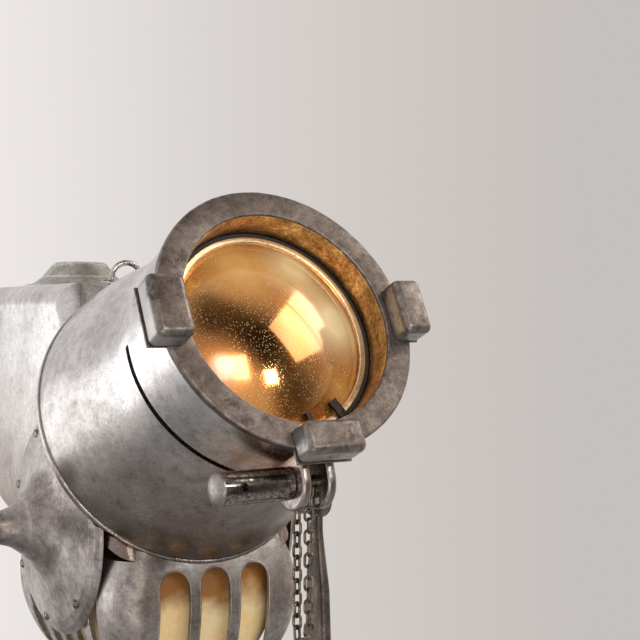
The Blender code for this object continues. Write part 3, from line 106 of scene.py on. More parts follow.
SPINDLE_RADIUS, SOCKET_RADIUS, SOCKET_LENGTH = 0.012, 0.024, 0.066
SOCKET_TOP = -YOKE_DROP - YOKE_THICK - 0.0035
SOCKET_BASE = SOCKET_TOP - SOCKET_LENGTH
INNER_TUBE, INNER_LENGTH, TUBE_WALL = 0.014, 0.395, 0.002
COLUMN_BORE = INNER_TUBE + 0.0004
COLUMN_RADIUS, COLUMN_TOP, COLUMN_BASE, CLAMP_RADIUS, CLAMP_LENGTH = 0.018, 0.955, 0.450, 0.026, 0.052
CROWN_RADIUS, CROWN_HALF, LEG_HEIGHT, LEG_REACH = 0.034, 0.036, 0.725, 0.060
LEG_EYE, LEG_EYE_WIDTH, LEG_EAR_WALL, LEG_TUBE, LEG_SOCKET = 0.014, 0.024, 0.008, 0.011, 0.062
FOOT_REACH, FOOT_RADIUS, FOOT_LENGTH, FOOT_SOLE, LEG_PIN = 0.430, 0.021, 0.058, 0.024, 0.004
LEG_LEAN = math.atan2(FOOT_REACH - LEG_REACH, LEG_HEIGHT)

# Small forms that only the picture needs
LINK_PITCH, LINK_WIDTH, LINK_WIRE, CHAIN_TWIST = 0.0085, 0.0062, 0.00112, 1.15
LIP_RADIUS, LIP_SPACING, LIP_INSET = 0.0009, 0.0014, 0.0006
WEAR_WIDTH, WEAR_CROWN = 0.0016, 2e-6
SCREW_RADIUS, SCREW_DOME, SCREW_CUT = 0.0036, 0.0019, 0.00045
CHEEK_SCREWS = [math.radians(turn) for turn in (18, 66, -34, -84, -134)]

# What repeats: (name, angle, width, reach) of the lugs, and (number, angle, body) of the legs
LUGS = (("left", math.pi, LUG_WIDTH, LUG_OUTER), ("right", 0.0, 0.0465, LUG_OUTER - 0.0045),
        ("bottom", -math.pi / 2, LUG_WIDTH, LUG_OUTER - 0.0040))
LEGS = ((1, -90, "leg_front"), (2, 30, "leg_right"), (3, 150, "leg_left"))
SIDES = ((-1, "left"), (1, "right"))


# Shapes

def arc(centre, radius, start, end, steps):
    span = [start + (end - start) * i / steps for i in range(steps + 1)]
    return [(centre[0] + radius * math.cos(a), centre[1] + radius * math.sin(a)) for a in span]


def eased(points, radius=0.0, steps=4):
    """Round the corners of a closed outline. A point may carry its own radius as a third number."""
    rounded = []
    for i, point in enumerate(points):
        here = Vector(point[:2])
        ease = point[2] if len(point) > 2 else radius
        back = Vector(points[i - 1][:2]) - here
        on = Vector(points[(i + 1) % len(points)][:2]) - here
        spread = back.angle(on) if back.length > 1e-9 and on.length > 1e-9 else math.pi
        if ease <= 0 or spread > math.radians(172) or spread < math.radians(4):
            rounded.append(tuple(here))
            continue
        reach = min(ease / math.tan(spread / 2), 0.48 * back.length, 0.48 * on.length)
        ease = reach * math.tan(spread / 2)
        centre = here + (back.normalized() + on.normalized()).normalized() * (ease / math.sin(spread / 2))
        first = here + back.normalized() * reach - centre
        turn = first.angle_signed(here + on.normalized() * reach - centre)
        for k in range(steps + 1):
            rounded.append(tuple(centre + Matrix.Rotation(-turn * k / steps, 2) @ first))
    return rounded


def turned(outline, steps=96, axis="Z"):
    """Spin a closed outline of (radius, height) points about an axis through the origin."""
    shape = bmesh.new()
    rows = []
    for i in range(steps):
        a = math.tau * i / steps
        rows.append([shape.verts.new((r * math.cos(a), r * math.sin(a), h)) for r, h in outline])
    for i in range(steps):
        here, there = rows[i], rows[(i + 1) % steps]
        for j in range(len(outline)):
            k = (j + 1) % len(outline)
            if outline[j][0] < 1e-9 and outline[k][0] < 1e-9:
                continue
            shape.faces.new((here[j], there[j], there[k], here[k]))
    bmesh.ops.remove_doubles(shape, verts=shape.verts, dist=1e-7)
    bmesh.ops.dissolve_degenerate(shape, edges=shape.edges, dist=1e-8)
    turn = {"X": Matrix.Rotation(math.pi / 2, 4, "Y"), "Y": Matrix.Rotation(-math.pi / 2, 4, "X")}
    if axis in turn:
        bmesh.ops.transform(shape, matrix=turn[axis], verts=shape.verts)
    return shape


def rod(radius, low, high, steps=48, axis="Z", ease=0.0):
    return turned(eased([(0, low), (radius, low, ease), (radius, high, ease), (0, high)]), steps, axis)


def tube(radius, bore, low, high, steps=64, axis="Z", ease=0.0003):
    return turned(eased([(bore, low), (radius, low), (radius, high), (bore, high)], ease, 2), steps, axis)


def slab(outline, low, high, axis="X"):
    """Extrude a flat outline: (y, z) points for axis X, (x, z) for Y and (x, y) for Z."""
    places = {"X": lambda a, b, c: (c, a, b), "Y": lambda a, b, c: (a, c, b), "Z": lambda a, b, c: (a, b, c)}
    shape = bmesh.new()
    ends = [[shape.verts.new(places[axis](a, b, c)) for a, b in outline] for c in (low, high)]
    for i in range(len(outline)):
        shape.faces.new((ends[0][i - 1], ends[0][i], ends[1][i], ends[1][i - 1]))
    shape.faces.new(ends[0])
    shape.faces.new(ends[1])
    return shape


def block(low, high):
    return slab([(low[0], low[1]), (high[0], low[1]), (high[0], high[1]), (low[0], high[1])],
                low[2], high[2], "Z")


def softened(shape, width, segments=3, sharp=40):
    """Round a shape's sharp edges."""
    bmesh.ops.recalc_face_normals(shape, faces=shape.faces)
    rims = [e for e in shape.edges if e.is_manifold and e.calc_face_angle(0) > math.radians(sharp)]
    bmesh.ops.bevel(shape, geom=rims, offset=width, segments=segments, profile=0.5, affect="EDGES",
                    clamp_overlap=True)
    return shape


def moved(shape, place=(0, 0, 0), turn=0.0, about="Z"):
    matrix = Matrix.Translation(place) @ Matrix.Rotation(turn, 4, about)
    bmesh.ops.transform(shape, matrix=matrix, verts=shape.verts)
    return shape


def loft(rings):
    """Join rings of points into one closed skin."""
    shape = bmesh.new()
    rows = [[shape.verts.new(point) for point in ring] for ring in rings]
    for lower, upper in zip(rows, rows[1:]):
        for i in range(len(lower)):
            shape.faces.new((lower[i - 1], lower[i], upper[i], upper[i - 1]))
    shape.faces.new(rows[0])
    shape.faces.new(rows[-1])
    return shape


def rounded_plan(half_x, half_y, corner):
    centres = ((half_x - corner, half_y - corner), (corner - half_x, half_y - corner),
               (corner - half_x, corner - half_y), (half_x - corner, corner - half_y))
    points = []
    for quarter, centre in enumerate(centres):
        points += arc(centre, corner, quarter * math.pi / 2, (quarter + 1) * math.pi / 2, 10)
    return points


def slot_outline(centre, width, low, high):
    half = width / 2
    return (arc((centre, high - half), half, 0, math.pi, 12)
            + arc((centre, low + half), half, math.pi, math.tau, 12))


# Making pieces

def placed(name, data):
    thing = bpy.data.objects.new(name, data)
    bpy.context.collection.objects.link(thing)
    return thing


def raw(name, shape, place):
    """A bare object whose place is already in its mesh."""
    bmesh.ops.transform(shape, matrix=place, verts=shape.verts)
    bmesh.ops.recalc_face_normals(shape, faces=shape.faces)
    mesh = bpy.data.meshes.new(name)
    shape.to_mesh(mesh)
    shape.free()
    return placed(name, mesh)


def plain_mesh(thing):
    graph = bpy.context.evaluated_depsgraph_get()
    return bpy.data.meshes.new_from_object(thing.evaluated_get(graph))


def settle(thing):
    """Turn an object's modifiers into its plain mesh."""
    mesh = plain_mesh(thing)
    thing.modifiers.clear()
    thing.data = mesh


def combined(thing, operation, shapes):
    """Cut shapes from a thing, or weld them to it. Each is (shape, place)."""
    helpers = []
    for shape, place in shapes:
        helper = raw("helper", shape, place)
        step = thing.modifiers.new("join", "BOOLEAN")
        step.operation, step.solver, step.object = operation, "EXACT", helper
        helpers.append(helper)
    settle(thing)
    for helper in helpers:
        bpy.data.objects.remove(helper, do_unlink=True)


def mesh_shape(mesh):
    shape = bmesh.new()
    shape.from_mesh(mesh)
    return shape


def mark_wear(mesh):
    """Mark the rounded edges, where handling has polished the metal."""
    shape = mesh_shape(mesh)
    layer = shape.verts.layers.float.new("wear")
    for vert in shape.verts:
        if not vert.link_faces:
            continue
        narrow = all(min(e.calc_length() for e in face.edges) < WEAR_WIDTH for face in vert.link_faces)
        middle = sum((e.other_vert(vert).co for e in vert.link_edges), Vector()) / len(vert.link_edges)
        if narrow and (middle - vert.co).dot(vert.normal) < -WEAR_CROWN:
            vert[layer] = 1.0
    shape.to_mesh(mesh)
    shape.free()


def dress(thing, slot, body, stands_for=(), smooth=32, look=None):
    """Give a finished mesh its material, its body and the nodes that it stands for."""
    mesh = thing.data
    mesh.shade_smooth()
    mesh.set_sharp_from_angle(angle=math.radians(smooth))
    mesh.materials.clear()
    mesh.materials.append(LOOKS[look or slot])
    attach(thing, body)
    if stands_for:
        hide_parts(*stands_for)
    return thing


def piece(name, shape, place, slot, body, stands_for=(), smooth=32, look=None, cuts=(), adds=()):
    thing = raw(name, shape, place)
    if adds:
        combined(thing, "UNION", adds)
    if cuts:
        combined(thing, "DIFFERENCE", cuts)
    thing.data.validate()
    mark_wear(thing.data)
    return dress(thing, slot, body, stands_for, smooth, look)


# Materials

# Places on the lens where reflections and a highlight are painted into the gold coat's colour: dark bands,
# cream and orange patches, and one bright spot
PAINTED_LENS_REFLECTIONS = [(tuple(BARREL @ Vector(place)), reach, shade, matte_share) for place, reach, shade, matte_share in (
    ((-0.056, 0.004, -0.026), 0.040, (0.25, 0.085, 0.014), 0.25),
    ((-0.020, -0.014, -0.018), 0.050, (0.20, 0.075, 0.014), 0.10),
    ((0.012, -0.050, -0.026), 0.038, (0.34, 0.145, 0.032), 0.25),
    ((-0.020, 0.058, -0.028), 0.054, (1.0, 0.55, 0.16), 0.80),
    ((0.034, 0.056, -0.030), 0.048, (1.0, 0.76, 0.40), 0.98),
    ((-0.058, -0.042, -0.028), 0.050, (1.0, 0.36, 0.075), 0.98),
    ((-0.054, -0.030, -0.026), 0.018, (1.0, 0.84, 0.60), 1.0),
    ((0.058, 0.006, -0.025), 0.054, (1.0, 0.80, 0.46), 0.98),
    ((0.050, -0.052, -0.030), 0.036, (0.80, 0.42, 0.11), 0.70))]


def nodes_of(name):
    material = bpy.data.materials.new(name)
    material.use_nodes = True
    tree = material.node_tree
    return material, tree, tree.nodes["Principled BSDF"]


def link(tree, source, target):
    tree.links.new(source, target)


def node(tree, kind, inputs=None, **settings):
    """Add a node. Each input is fed by a socket, or takes a value."""
    made = tree.nodes.new(kind)
    for key, value in settings.items():
        setattr(made, key, value)
    for key, value in (inputs or {}).items():
        if isinstance(value, bpy.types.NodeSocket):
            link(tree, value, made.inputs[key])
        else:
            made.inputs[key].default_value = value
    return made


def object_place(tree):
    return node(tree, "ShaderNodeTexCoord").outputs["Object"]


def vector_maths(tree, operation, first, second=(0, 0, 0)):
    return node(tree, "ShaderNodeVectorMath", {0: first, 1: second}, operation=operation).outputs["Value"]


def spotted(tree, scale, detail=3.0, stretch=(1, 1, 1), seed=0.0, rough=0.55):
    """A noise in the piece's own metres."""
    shifted = node(tree, "ShaderNodeMapping", {"Vector": object_place(tree), "Scale": stretch,
                                               "Location": (seed, seed * 0.7, -seed)})
    return node(tree, "ShaderNodeTexNoise", {"Vector": shifted.outputs["Vector"], "Scale": scale,
                                             "Detail": detail, "Roughness": rough}).outputs["Fac"]


def ramp(tree, source, stops):
    """Map a number to colours. Each stop is (place, colour)."""
    made = node(tree, "ShaderNodeValToRGB", {"Fac": source})
    ends = made.color_ramp.elements
    while len(ends) < len(stops):
        ends.new(0.5)
    for end, (place, colour) in zip(ends, stops):
        end.position = place
        end.color = (*colour, 1)
    return made.outputs["Color"]


def mapped(tree, source, low, high, start, end):
    return node(tree, "ShaderNodeMapRange", {"Value": source, "From Min": low, "From Max": high,
                                             "To Min": start, "To Max": end}).outputs["Result"]


def maths(tree, operation, first, second):
    return node(tree, "ShaderNodeMath", {0: first, 1: second}, operation=operation).outputs["Value"]


def plus(tree, first, second):
    return maths(tree, "ADD", first, second)


def times(tree, first, second):
    return maths(tree, "MULTIPLY", first, second)


def blended(tree, share, first, second, kind="MIX"):
    first, second = ((*value, 1) if isinstance(value, tuple) else value for value in (first, second))
    made = node(tree, "ShaderNodeMix", {"Factor": share, 6: first, 7: second}, data_type="RGBA",
                blend_type=kind)
    return made.outputs[2]


def pits(tree, scale, size, seed=0.0):
    """Small round spots, 1 inside and 0 outside."""
    shifted = node(tree, "ShaderNodeMapping", {"Vector": object_place(tree), "Location": (seed, seed, seed)})
    cells = node(tree, "ShaderNodeTexVoronoi", {"Vector": shifted.outputs["Vector"], "Scale": scale})
    return mapped(tree, cells.outputs["Distance"], size * 0.6, size, 1.0, 0.0)


def bumped(tree, shader, height, strength, depth):
    bump = node(tree, "ShaderNodeBump", {"Height": height, "Strength": strength, "Distance": depth})
    link(tree, bump.outputs["Normal"], shader.inputs["Normal"])


def worn_metal(name, shades, gloss, metal, cloud, grain, pit, scratch, worn, bump, depth,
               painted_low_shade=None, painted_top_shade=None, painted_reflection=None, painted_bright_sides=None, spread=0.13, stain=None, wear_most=0.9):
    """Metal with slow mottling, fine grain, stains, dark pits, brushed scratches and polished edges; some also
    get painted shade by height, painted bright sides or a painted reflection.
    """
    material, tree, shader = nodes_of(name)
    shader.inputs["Metallic"].default_value = metal
    slow = spotted(tree, cloud, 4, seed=1.3)
    middling = spotted(tree, cloud * 6, 5, seed=6.4, rough=0.65)
    fine = spotted(tree, grain, 3, seed=4.1, rough=0.7)
    quick = plus(tree, times(tree, middling, 0.33), times(tree, fine, 0.25))
    both = plus(tree, times(tree, slow, 0.42), quick)
    step = 2 * spread / (len(shades) - 1)
    colour = ramp(tree, both, [(0.5 - spread + step * i, shade) for i, shade in enumerate(shades)])
    height = fine
    # Painted reflection: the sides behind the front face are painted a brighter silver than the face.
    if painted_bright_sides:
        shade, face = painted_bright_sides
        ahead = vector_maths(tree, "DOT_PRODUCT", object_place(tree), FORWARD)
        inside = plus(tree, ahead, times(tree, middling, 0.002))
        colour = blended(tree, mapped(tree, inside, face - 0.0060, face - 0.0030, 0.85, 0.0), colour, shade)
    # Painted reflection: an orange-brown patch is mixed in round a point.
    if painted_reflection:
        centre, reach, shade = painted_reflection
        away = vector_maths(tree, "DISTANCE", object_place(tree), centre)
        edge = plus(tree, away, times(tree, middling, 0.02))
        colour = blended(tree, mapped(tree, edge, reach * 0.3, reach, 0.75, 0.0), colour, shade)
    if stain:
        scale, shade, amount = stain
        patches = spotted(tree, scale, 6, seed=11.7, rough=0.72)
        colour = blended(tree, mapped(tree, patches, 0.54, 0.66, 0.0, amount), colour, shade)
    # Painted shade by height: the colour is darkened towards the bottom, or towards the top.
    for tint, top, base in [row for row in (painted_low_shade, painted_top_shade) if row]:
        place = node(tree, "ShaderNodeSeparateXYZ", {"Vector": object_place(tree)})
        lowered = plus(tree, place.outputs["Z"], times(tree, slow, 0.05))
        colour = blended(tree, mapped(tree, lowered, base, top, 1.0, 0.0), colour, tint, "MULTIPLY")
    if pit:
        scale, size, shade = pit
        spots = times(tree, pits(tree, scale, size), mapped(tree, slow, 0.45, 0.62, 0.15, 1.0))
        colour = blended(tree, spots, colour, shade)
        height = maths(tree, "SUBTRACT", fine, spots)
    rough = mapped(tree, both, 0.5 - spread, 0.5 + spread, gloss[1], gloss[0])
    if scratch:
        lines = spotted(tree, 60, 2, stretch=(1, 14, 1), seed=2.2, rough=0.8)
        other = spotted(tree, 60, 2, stretch=(14, 1, 5), seed=7.7, rough=0.8)
        lines = maths(tree, "MAXIMUM", lines, other)
        rough = plus(tree, rough, mapped(tree, lines, 0.5, 0.75, 0.0, scratch))
        height = plus(tree, height, times(tree, lines, scratch * 2))
    edge = node(tree, "ShaderNodeAttribute", attribute_name="wear").outputs["Fac"]
    share = times(tree, edge, mapped(tree, middling, 0.38, 0.62, wear_most * 0.15, wear_most))
    colour = blended(tree, share, colour, worn)
    rough = maths(tree, "SUBTRACT", rough, times(tree, share, 0.12))
    link(tree, colour, shader.inputs["Base Color"])
    link(tree, rough, shader.inputs["Roughness"])
    bumped(tree, shader, height, bump, depth)
    return material


def plain_stuff(name, shades, gloss, bump, grain, sheen=0.0):
    """Rubber, plastic or glazed ceramic: no metal, with a fine grain."""
    material, tree, shader = nodes_of(name)
    fine = spotted(tree, grain, 3, seed=3.0)
    slow = spotted(tree, 40, 3, seed=9.0)
    link(tree, ramp(tree, slow, [(0.35, shades[0]), (0.65, shades[1])]), shader.inputs["Base Color"])
    link(tree, mapped(tree, slow, 0.35, 0.65, gloss[0], gloss[1]), shader.inputs["Roughness"])
    shader.inputs["Sheen Weight"].default_value = sheen
    bumped(tree, shader, fine, bump, 0.0002)
    return material


def seeded_glass():
    """Glass full of small seeds under a gold coat, with reflections and a highlight painted into the coat's
    colour.
    """
    material, tree, shader = nodes_of("amber_glass")
    shader.inputs["IOR"].default_value = 1.45
    shader.inputs["Coat Weight"].default_value = 0.45
    shader.inputs["Coat Roughness"].default_value = 0.02
    cloud = spotted(tree, 34, 4, seed=5.0)
    slow = spotted(tree, 13, 2, seed=2.0)
    seeds = times(tree, pits(tree, 620, 0.27), mapped(tree, cloud, 0.30, 0.54, 0.30, 0.95))
    spots = maths(tree, "MAXIMUM", seeds, pits(tree, 190, 0.085, 3.0))
    colour = ramp(tree, slow, [(0.36, (0.78, 0.30, 0.062)), (0.52, (1.0, 0.45, 0.11)),
                               (0.66, (1.0, 0.60, 0.21))])
    haze = mapped(tree, slow, 0.3, 0.7, 0.25, 0.35)
    here = object_place(tree)
    # Painted reflections: each zone mixes in its colour and turns the glass matte there.
    for centre, reach, shade, matte_share in PAINTED_LENS_REFLECTIONS:
        away = vector_maths(tree, "DISTANCE", here, centre)
        near = mapped(tree, plus(tree, away, times(tree, slow, 0.014)), reach * 0.3, reach, 0.95, 0.0)
        colour = blended(tree, near, colour, shade)
        haze = node(tree, "ShaderNodeMix", {"Factor": near, "A": haze, "B": matte_share}).outputs["Result"]
    haze = maths(tree, "MAXIMUM", haze, times(tree, spots, 0.95))
    link(tree, blended(tree, spots, colour, (1.0, 0.74, 0.34)), shader.inputs["Base Color"])
    link(tree, mapped(tree, haze, 0, 1, 0.85, 0.0), shader.inputs["Metallic"])
    link(tree, mapped(tree, haze, 0, 1, 0.9, 0.0), shader.inputs["Transmission Weight"])
    link(tree, mapped(tree, haze, 0, 1, 0.035, 0.22), shader.inputs["Roughness"])
    wave = spotted(tree, 16, 2, seed=8.0)
    bumped(tree, shader, plus(tree, wave, times(tree, spots, 0.10)), 0.06, 0.002)
    return material


def clear_glass():
    material, tree, shader = nodes_of("clear_glass")
    shader.inputs["Transmission Weight"].default_value = 1.0
    shader.inputs["IOR"].default_value = 1.2
    haze = spotted(tree, 60, 3, seed=6.0)
    link(tree, ramp(tree, haze, [(0.3, (0.96, 0.94, 0.88)), (0.7, (1, 1, 0.98))]), shader.inputs["Base Color"])
    link(tree, mapped(tree, haze, 0.3, 0.7, 0.10, 0.22), shader.inputs["Roughness"])
    return material


# Each metal has its shades from dark to light, its roughness from worn to dull, how metallic it is, the scales
# of its mottling and its grain, its pits (scale, size, shade), its scratches, the shade of its worn edges, and
# the strength and depth of its bump.
CAST = [(0.060, 0.046, 0.039), (0.130, 0.103, 0.089), (0.23, 0.190, 0.168)]
METALS = {
    "cast_grey": (CAST, (0.32, 0.48), 0.75, 26, 520, (900, 0.16, (0.02, 0.017, 0.015)), 0.05,
                  (0.34, 0.31, 0.285), 0.45, 0.0005),
    "lug_grey": (CAST, (0.30, 0.46), 0.8, 26, 520, (900, 0.16, (0.02, 0.017, 0.015)), 0.05,
                 (0.34, 0.31, 0.285), 0.45, 0.0005),
    "cage_grey": ([(0.16, 0.138, 0.125), (0.33, 0.295, 0.275), (0.52, 0.49, 0.47)], (0.28, 0.46), 0.9, 24, 520,
                  (900, 0.16, (0.03, 0.026, 0.024)), 0.05, (0.50, 0.47, 0.45), 0.4, 0.0005),
    "silver_alloy": ([(0.30, 0.29, 0.285), (0.50, 0.49, 0.485), (0.66, 0.66, 0.655)], (0.20, 0.36), 1.0, 24,
                     380, (620, 0.20, (0.10, 0.09, 0.085)), 0.08, (0.80, 0.79, 0.78), 0.22, 0.0003),
    "barrel_silver": ([(0.30, 0.29, 0.285), (0.54, 0.53, 0.525), (0.72, 0.71, 0.705)], (0.20, 0.34), 1.0, 20,
                      420, (700, 0.26, (0.06, 0.052, 0.048)), 0.08, (0.60, 0.58, 0.56), 0.26, 0.0003),
    "cowl_olive": ([(0.20, 0.195, 0.17), (0.36, 0.355, 0.32), (0.50, 0.495, 0.46)], (0.24, 0.42), 1.0, 30, 380,
                   (620, 0.16, (0.07, 0.065, 0.055)), 0.05, (0.66, 0.65, 0.60), 0.25, 0.0003),
    "gold": ([(0.42, 0.20, 0.06), (0.72, 0.40, 0.14), (0.92, 0.62, 0.28)], (0.16, 0.34), 1.0, 40, 300,
             (700, 0.13, (0.20, 0.09, 0.03)), 0.15, (0.98, 0.80, 0.50), 0.2, 0.0003),
    # The liner's gold is its own colour, brightened to near white as painted light from inside the cage.
    "liner_gold": ([(1.0, 0.60, 0.24), (1.0, 0.74, 0.38), (1.0, 0.84, 0.54)], (0.24, 0.42), 0.0, 30, 260, None,
                   0.05, (1.0, 0.85, 0.60), 0.25, 0.0005),
    "retainer_gold": ([(0.50, 0.30, 0.13), (0.78, 0.54, 0.30), (0.95, 0.76, 0.52)], (0.24, 0.40), 0.9, 40, 500,
                      None, 0.05, (1.0, 0.90, 0.70), 0.2, 0.0002),
    "bore_bronze": ([(0.20, 0.105, 0.042), (0.52, 0.32, 0.145), (0.92, 0.66, 0.36)], (0.22, 0.46), 1.0, 60, 300,
                    (800, 0.2, (0.07, 0.04, 0.02)), 0.30, (0.90, 0.72, 0.45), 0.4, 0.0004),
    "carrier_bronze": ([(0.030, 0.020, 0.012), (0.075, 0.050, 0.030), (0.14, 0.10, 0.065)], (0.28, 0.45), 1.0,
                       60, 400, None, 0.05, (0.30, 0.22, 0.14), 0.2, 0.0002),
    "dark_steel": ([(0.07, 0.06, 0.055), (0.15, 0.13, 0.12), (0.26, 0.24, 0.23)], (0.16, 0.30), 1.0, 50, 520,
                   (800, 0.14, (0.02, 0.02, 0.02)), 0.12, (0.60, 0.58, 0.56), 0.2, 0.0002),
    "bright_steel": ([(0.50, 0.50, 0.495), (0.57, 0.57, 0.565), (0.64, 0.64, 0.635)], (0.18, 0.28), 1.0, 9, 700,
                     (500, 0.07, (0.22, 0.20, 0.19)), 0.10, (0.85, 0.85, 0.85), 0.15, 0.0002),
    "aged_brass": ([(0.045, 0.034, 0.024), (0.13, 0.105, 0.078), (0.34, 0.29, 0.22)], (0.22, 0.40), 1.0, 150,
                   700, None, 0.0, (0.72, 0.66, 0.55), 0.2, 0.0002),
    "pin_black": ([(0.024, 0.017, 0.014), (0.052, 0.038, 0.031), (0.105, 0.082, 0.070)], (0.16, 0.26), 1.0, 60,
                  600, (900, 0.10, (0.012, 0.010, 0.010)), 0.10, (0.40, 0.38, 0.36), 0.15, 0.0001),
    "pin_end": ([(0.06, 0.056, 0.053), (0.16, 0.153, 0.148), (0.34, 0.33, 0.32)], (0.34, 0.5), 0.9, 300, 900,
                (1200, 0.30, (0.04, 0.036, 0.033)), 0.0, (0.40, 0.38, 0.36), 0.4, 0.0003),
    "clip_dark": ([(0.018, 0.014, 0.012), (0.040, 0.032, 0.026), (0.075, 0.060, 0.050)], (0.34, 0.5), 0.9, 60,
                  500, None, 0.0, (0.12, 0.10, 0.085), 0.2, 0.0002),
}
# What only some of them have. The barrel has painted shade below and a painted orange-brown reflection on its
# collar.
REFLECTION_SPOT = tuple(BARREL @ Vector((-0.036, -0.101, -0.042)))
MARKS = {
    "cast_grey": {"stain": (70, (0.030, 0.024, 0.021), 0.75), "wear_most": 0.55},
    # The lugs: cast grey with their sides painted brighter, a painted reflection.
    "lug_grey": {"stain": (70, (0.030, 0.024, 0.021), 0.75), "wear_most": 0.55,
                 "painted_bright_sides": ((0.46, 0.45, 0.44), RING_CENTRE.dot(FORWARD) + LUG_AHEAD)},
    "cage_grey": {"stain": (70, (0.09, 0.075, 0.068), 0.5), "wear_most": 0.6},
    "barrel_silver": {"stain": (60, (0.15, 0.135, 0.125), 0.40), "wear_most": 0.4, "spread": 0.16,
                      # Painted shade: the barrel darkens towards its underside.
                      "painted_low_shade": ((0.40, 0.325, 0.285), 1.57, 1.43),
                      # Painted reflection: an orange-brown patch low on the collar.
                      "painted_reflection": (REFLECTION_SPOT, 0.060, (0.80, 0.44, 0.25))},
    # Painted shadow: the liner darkens towards its top, under the barrel.
    "liner_gold": {"painted_top_shade": ((0.40, 0.22, 0.10), 1.356, 1.377)},
    "bore_bronze": {"stain": (90, (0.10, 0.055, 0.024), 0.7)},
    "clip_dark": {"wear_most": 0.3},
}
LOOKS = {name: worn_metal(name, *row, **MARKS.get(name, {})) for name, row in METALS.items()}
LOOKS.update({
    "rubber": plain_stuff("rubber", [(0.012, 0.011, 0.010), (0.030, 0.028, 0.026)], (0.55, 0.75), 0.3, 700,
                          0.1),
    "black_plastic": plain_stuff("black_plastic", [(0.018, 0.018, 0.018), (0.040, 0.038, 0.036)], (0.28, 0.46),
                                 0.2, 800),
    "ceramic": plain_stuff("ceramic", [(0.70, 0.67, 0.60), (0.84, 0.82, 0.77)], (0.15, 0.35), 0.1, 300),
    "amber_glass": seeded_glass(),
    "clear_glass": clear_glass(),
})


def cast_skin(thing, amount, scale=90):
    """Shift a casting's surface a little, as sand leaves it."""
    for vert in thing.data.vertices:
        vert.co += vert.normal * (amount * noise.noise(vert.co * scale))


# The barrel, from the filter ring to the rim

def lay_ring():
    skirt = SLEEVE_RADIUS - GAP
    ring = turned(eased([(RING_BORE, 0, 0.0013), (RING_RADIUS, 0, 0.0017), (RING_RADIUS, -RING_FLANGE, 0.0009),
                         (skirt, -RING_FLANGE), (skirt, -RING_DEPTH), (RING_BORE, -RING_DEPTH)]), 224)
    pads = []
    for _, angle, wide, outer in LUGS:
        half = wide / 2 - 0.001
        pad = softened(block((SLEEVE_RADIUS + 0.002, -half, -RING_FLANGE),
                             (outer, half, -LUG_BEHIND - GAP)), 0.0008, 2)
        pads.append((moved(pad, turn=angle), BARREL))
    ring = piece("cast_front_ring", ring, BARREL, "cast_grey", "head", ["front_ring"], adds=pads)
    cast_skin(ring, 0.00022, 120)
    skin = tube(RING_BORE - 0.00005, RING_BORE - 0.0004, -RING_DEPTH, -0.0022, 160)
    piece("ring_bore_skin", skin, BARREL, "gold", "head", look="bore_bronze")


def lay_lugs():
    for name, angle, wide, outer in LUGS:
        body = softened(block((LUG_INNER, -wide / 2, -LUG_BEHIND), (outer, wide / 2, LUG_AHEAD)), 0.0056, 6)
        step = turned([(SLEEVE_RADIUS - 0.020, GAP), (RING_RADIUS + GAP, GAP), (RING_RADIUS + GAP, -RING_DEPTH),
                       (SLEEVE_RADIUS - 0.020, -RING_DEPTH)], 128)
        lug = piece(name + "_filter_lug", moved(body, turn=angle), BARREL, "cast_grey", "head",
                    ["lug_" + name], cuts=[(step, BARREL)], look="lug_grey")
        cast_skin(lug, 0.0005, 60)


def lay_lens():
    seat = -RING_DEPTH - GAP
    base = seat - CELL_DEPTH
    wide = RING_BORE + 0.003
    piece("lens_carrier", turned(eased([
        (RING_BORE, seat), (SLEEVE_RADIUS, seat), (SLEEVE_RADIUS, -SLEEVE_END), (wide, -SLEEVE_END),
        (wide, base - 0.004), (SLEEVE_SHOULDER, base - 0.004), (SLEEVE_SHOULDER, base), (RING_BORE, base)],
        0.0004, 2), 160), BARREL, "gold", "head", ["lens_sleeve"], look="carrier_bronze")
    inner = RING_BORE - GAP - GASKET_WALL
    piece("lens_seal", tube(RING_BORE - GAP, inner, base + GAP, seat - 0.0001, 160, ease=0.0012), BARREL,
          "rubber", "head", ["lens_gasket"])
    piece("lens_clamp_ring", turned(eased([
        (inner - GAP, base + GAP + LENS_EDGE + GAP), (inner - GAP, seat, 0.0008),
        (RETAINER_BORE, seat - 0.0008, 0.0012), (RETAINER_BORE, base + GAP + LENS_EDGE + GAP)], 0.0003), 160),
        BARREL, "gold", "head", ["lens_retainer"], look="retainer_gold")
    low = base + GAP
    aperture = RETAINER_BORE - GAP
    sphere = (aperture ** 2 + LENS_CROWN ** 2) / (2 * LENS_CROWN)
    steps = 40
    front = []
    for i in range(steps + 1):
        radius = aperture * (1 - i / steps)
        front.append((radius, low + LENS_EDGE + math.sqrt(sphere ** 2 - radius ** 2) - sphere + LENS_CROWN))
    back = [(radius, height - LENS_EDGE) for radius, height in reversed(front)]
    edge = inner - GAP
    piece("seeded_lens", turned(front + back + [(edge, low), (edge, low + LENS_EDGE)], 128), BARREL,
          "amber_glass", "head", ["lens"], smooth=50)


def swell(share):
    """How far the barrel has widened at a share of its flare."""
    return math.sin(share * math.pi / 2) ** 1.3


def barrel_outline():
    front = -RING_FLANGE - GAP
    rim_start = -RIM_BEHIND + RIM_BEAD
    growth = RIM_RADIUS - 0.0018 - COLLAR_RADIUS
    steps = 26
    outer = [(COLLAR_RADIUS, front, 0.0012)]
    inner = [(SLEEVE_RADIUS + GAP, front), (SLEEVE_RADIUS + GAP, -SLEEVE_END)]
    for i in range(steps + 1):
        share = i / steps
        height = -COLLAR_LENGTH + (rim_start + COLLAR_LENGTH) * share
        radius = COLLAR_RADIUS + growth * swell(share)
        outer.append((radius, height))
        if i > steps // 6:
            inner.append((radius - BARREL_WALL, height))
    outer += [(RIM_RADIUS - 0.0022, rim_start - 0.0002), (RIM_RADIUS, rim_start - 0.0004, 0.0012),
              (RIM_RADIUS, -RIM_BEHIND, 0.0016)]
    inner.append((inner[-1][0], -RIM_BEHIND))
    return eased(outer + inner[::-1])


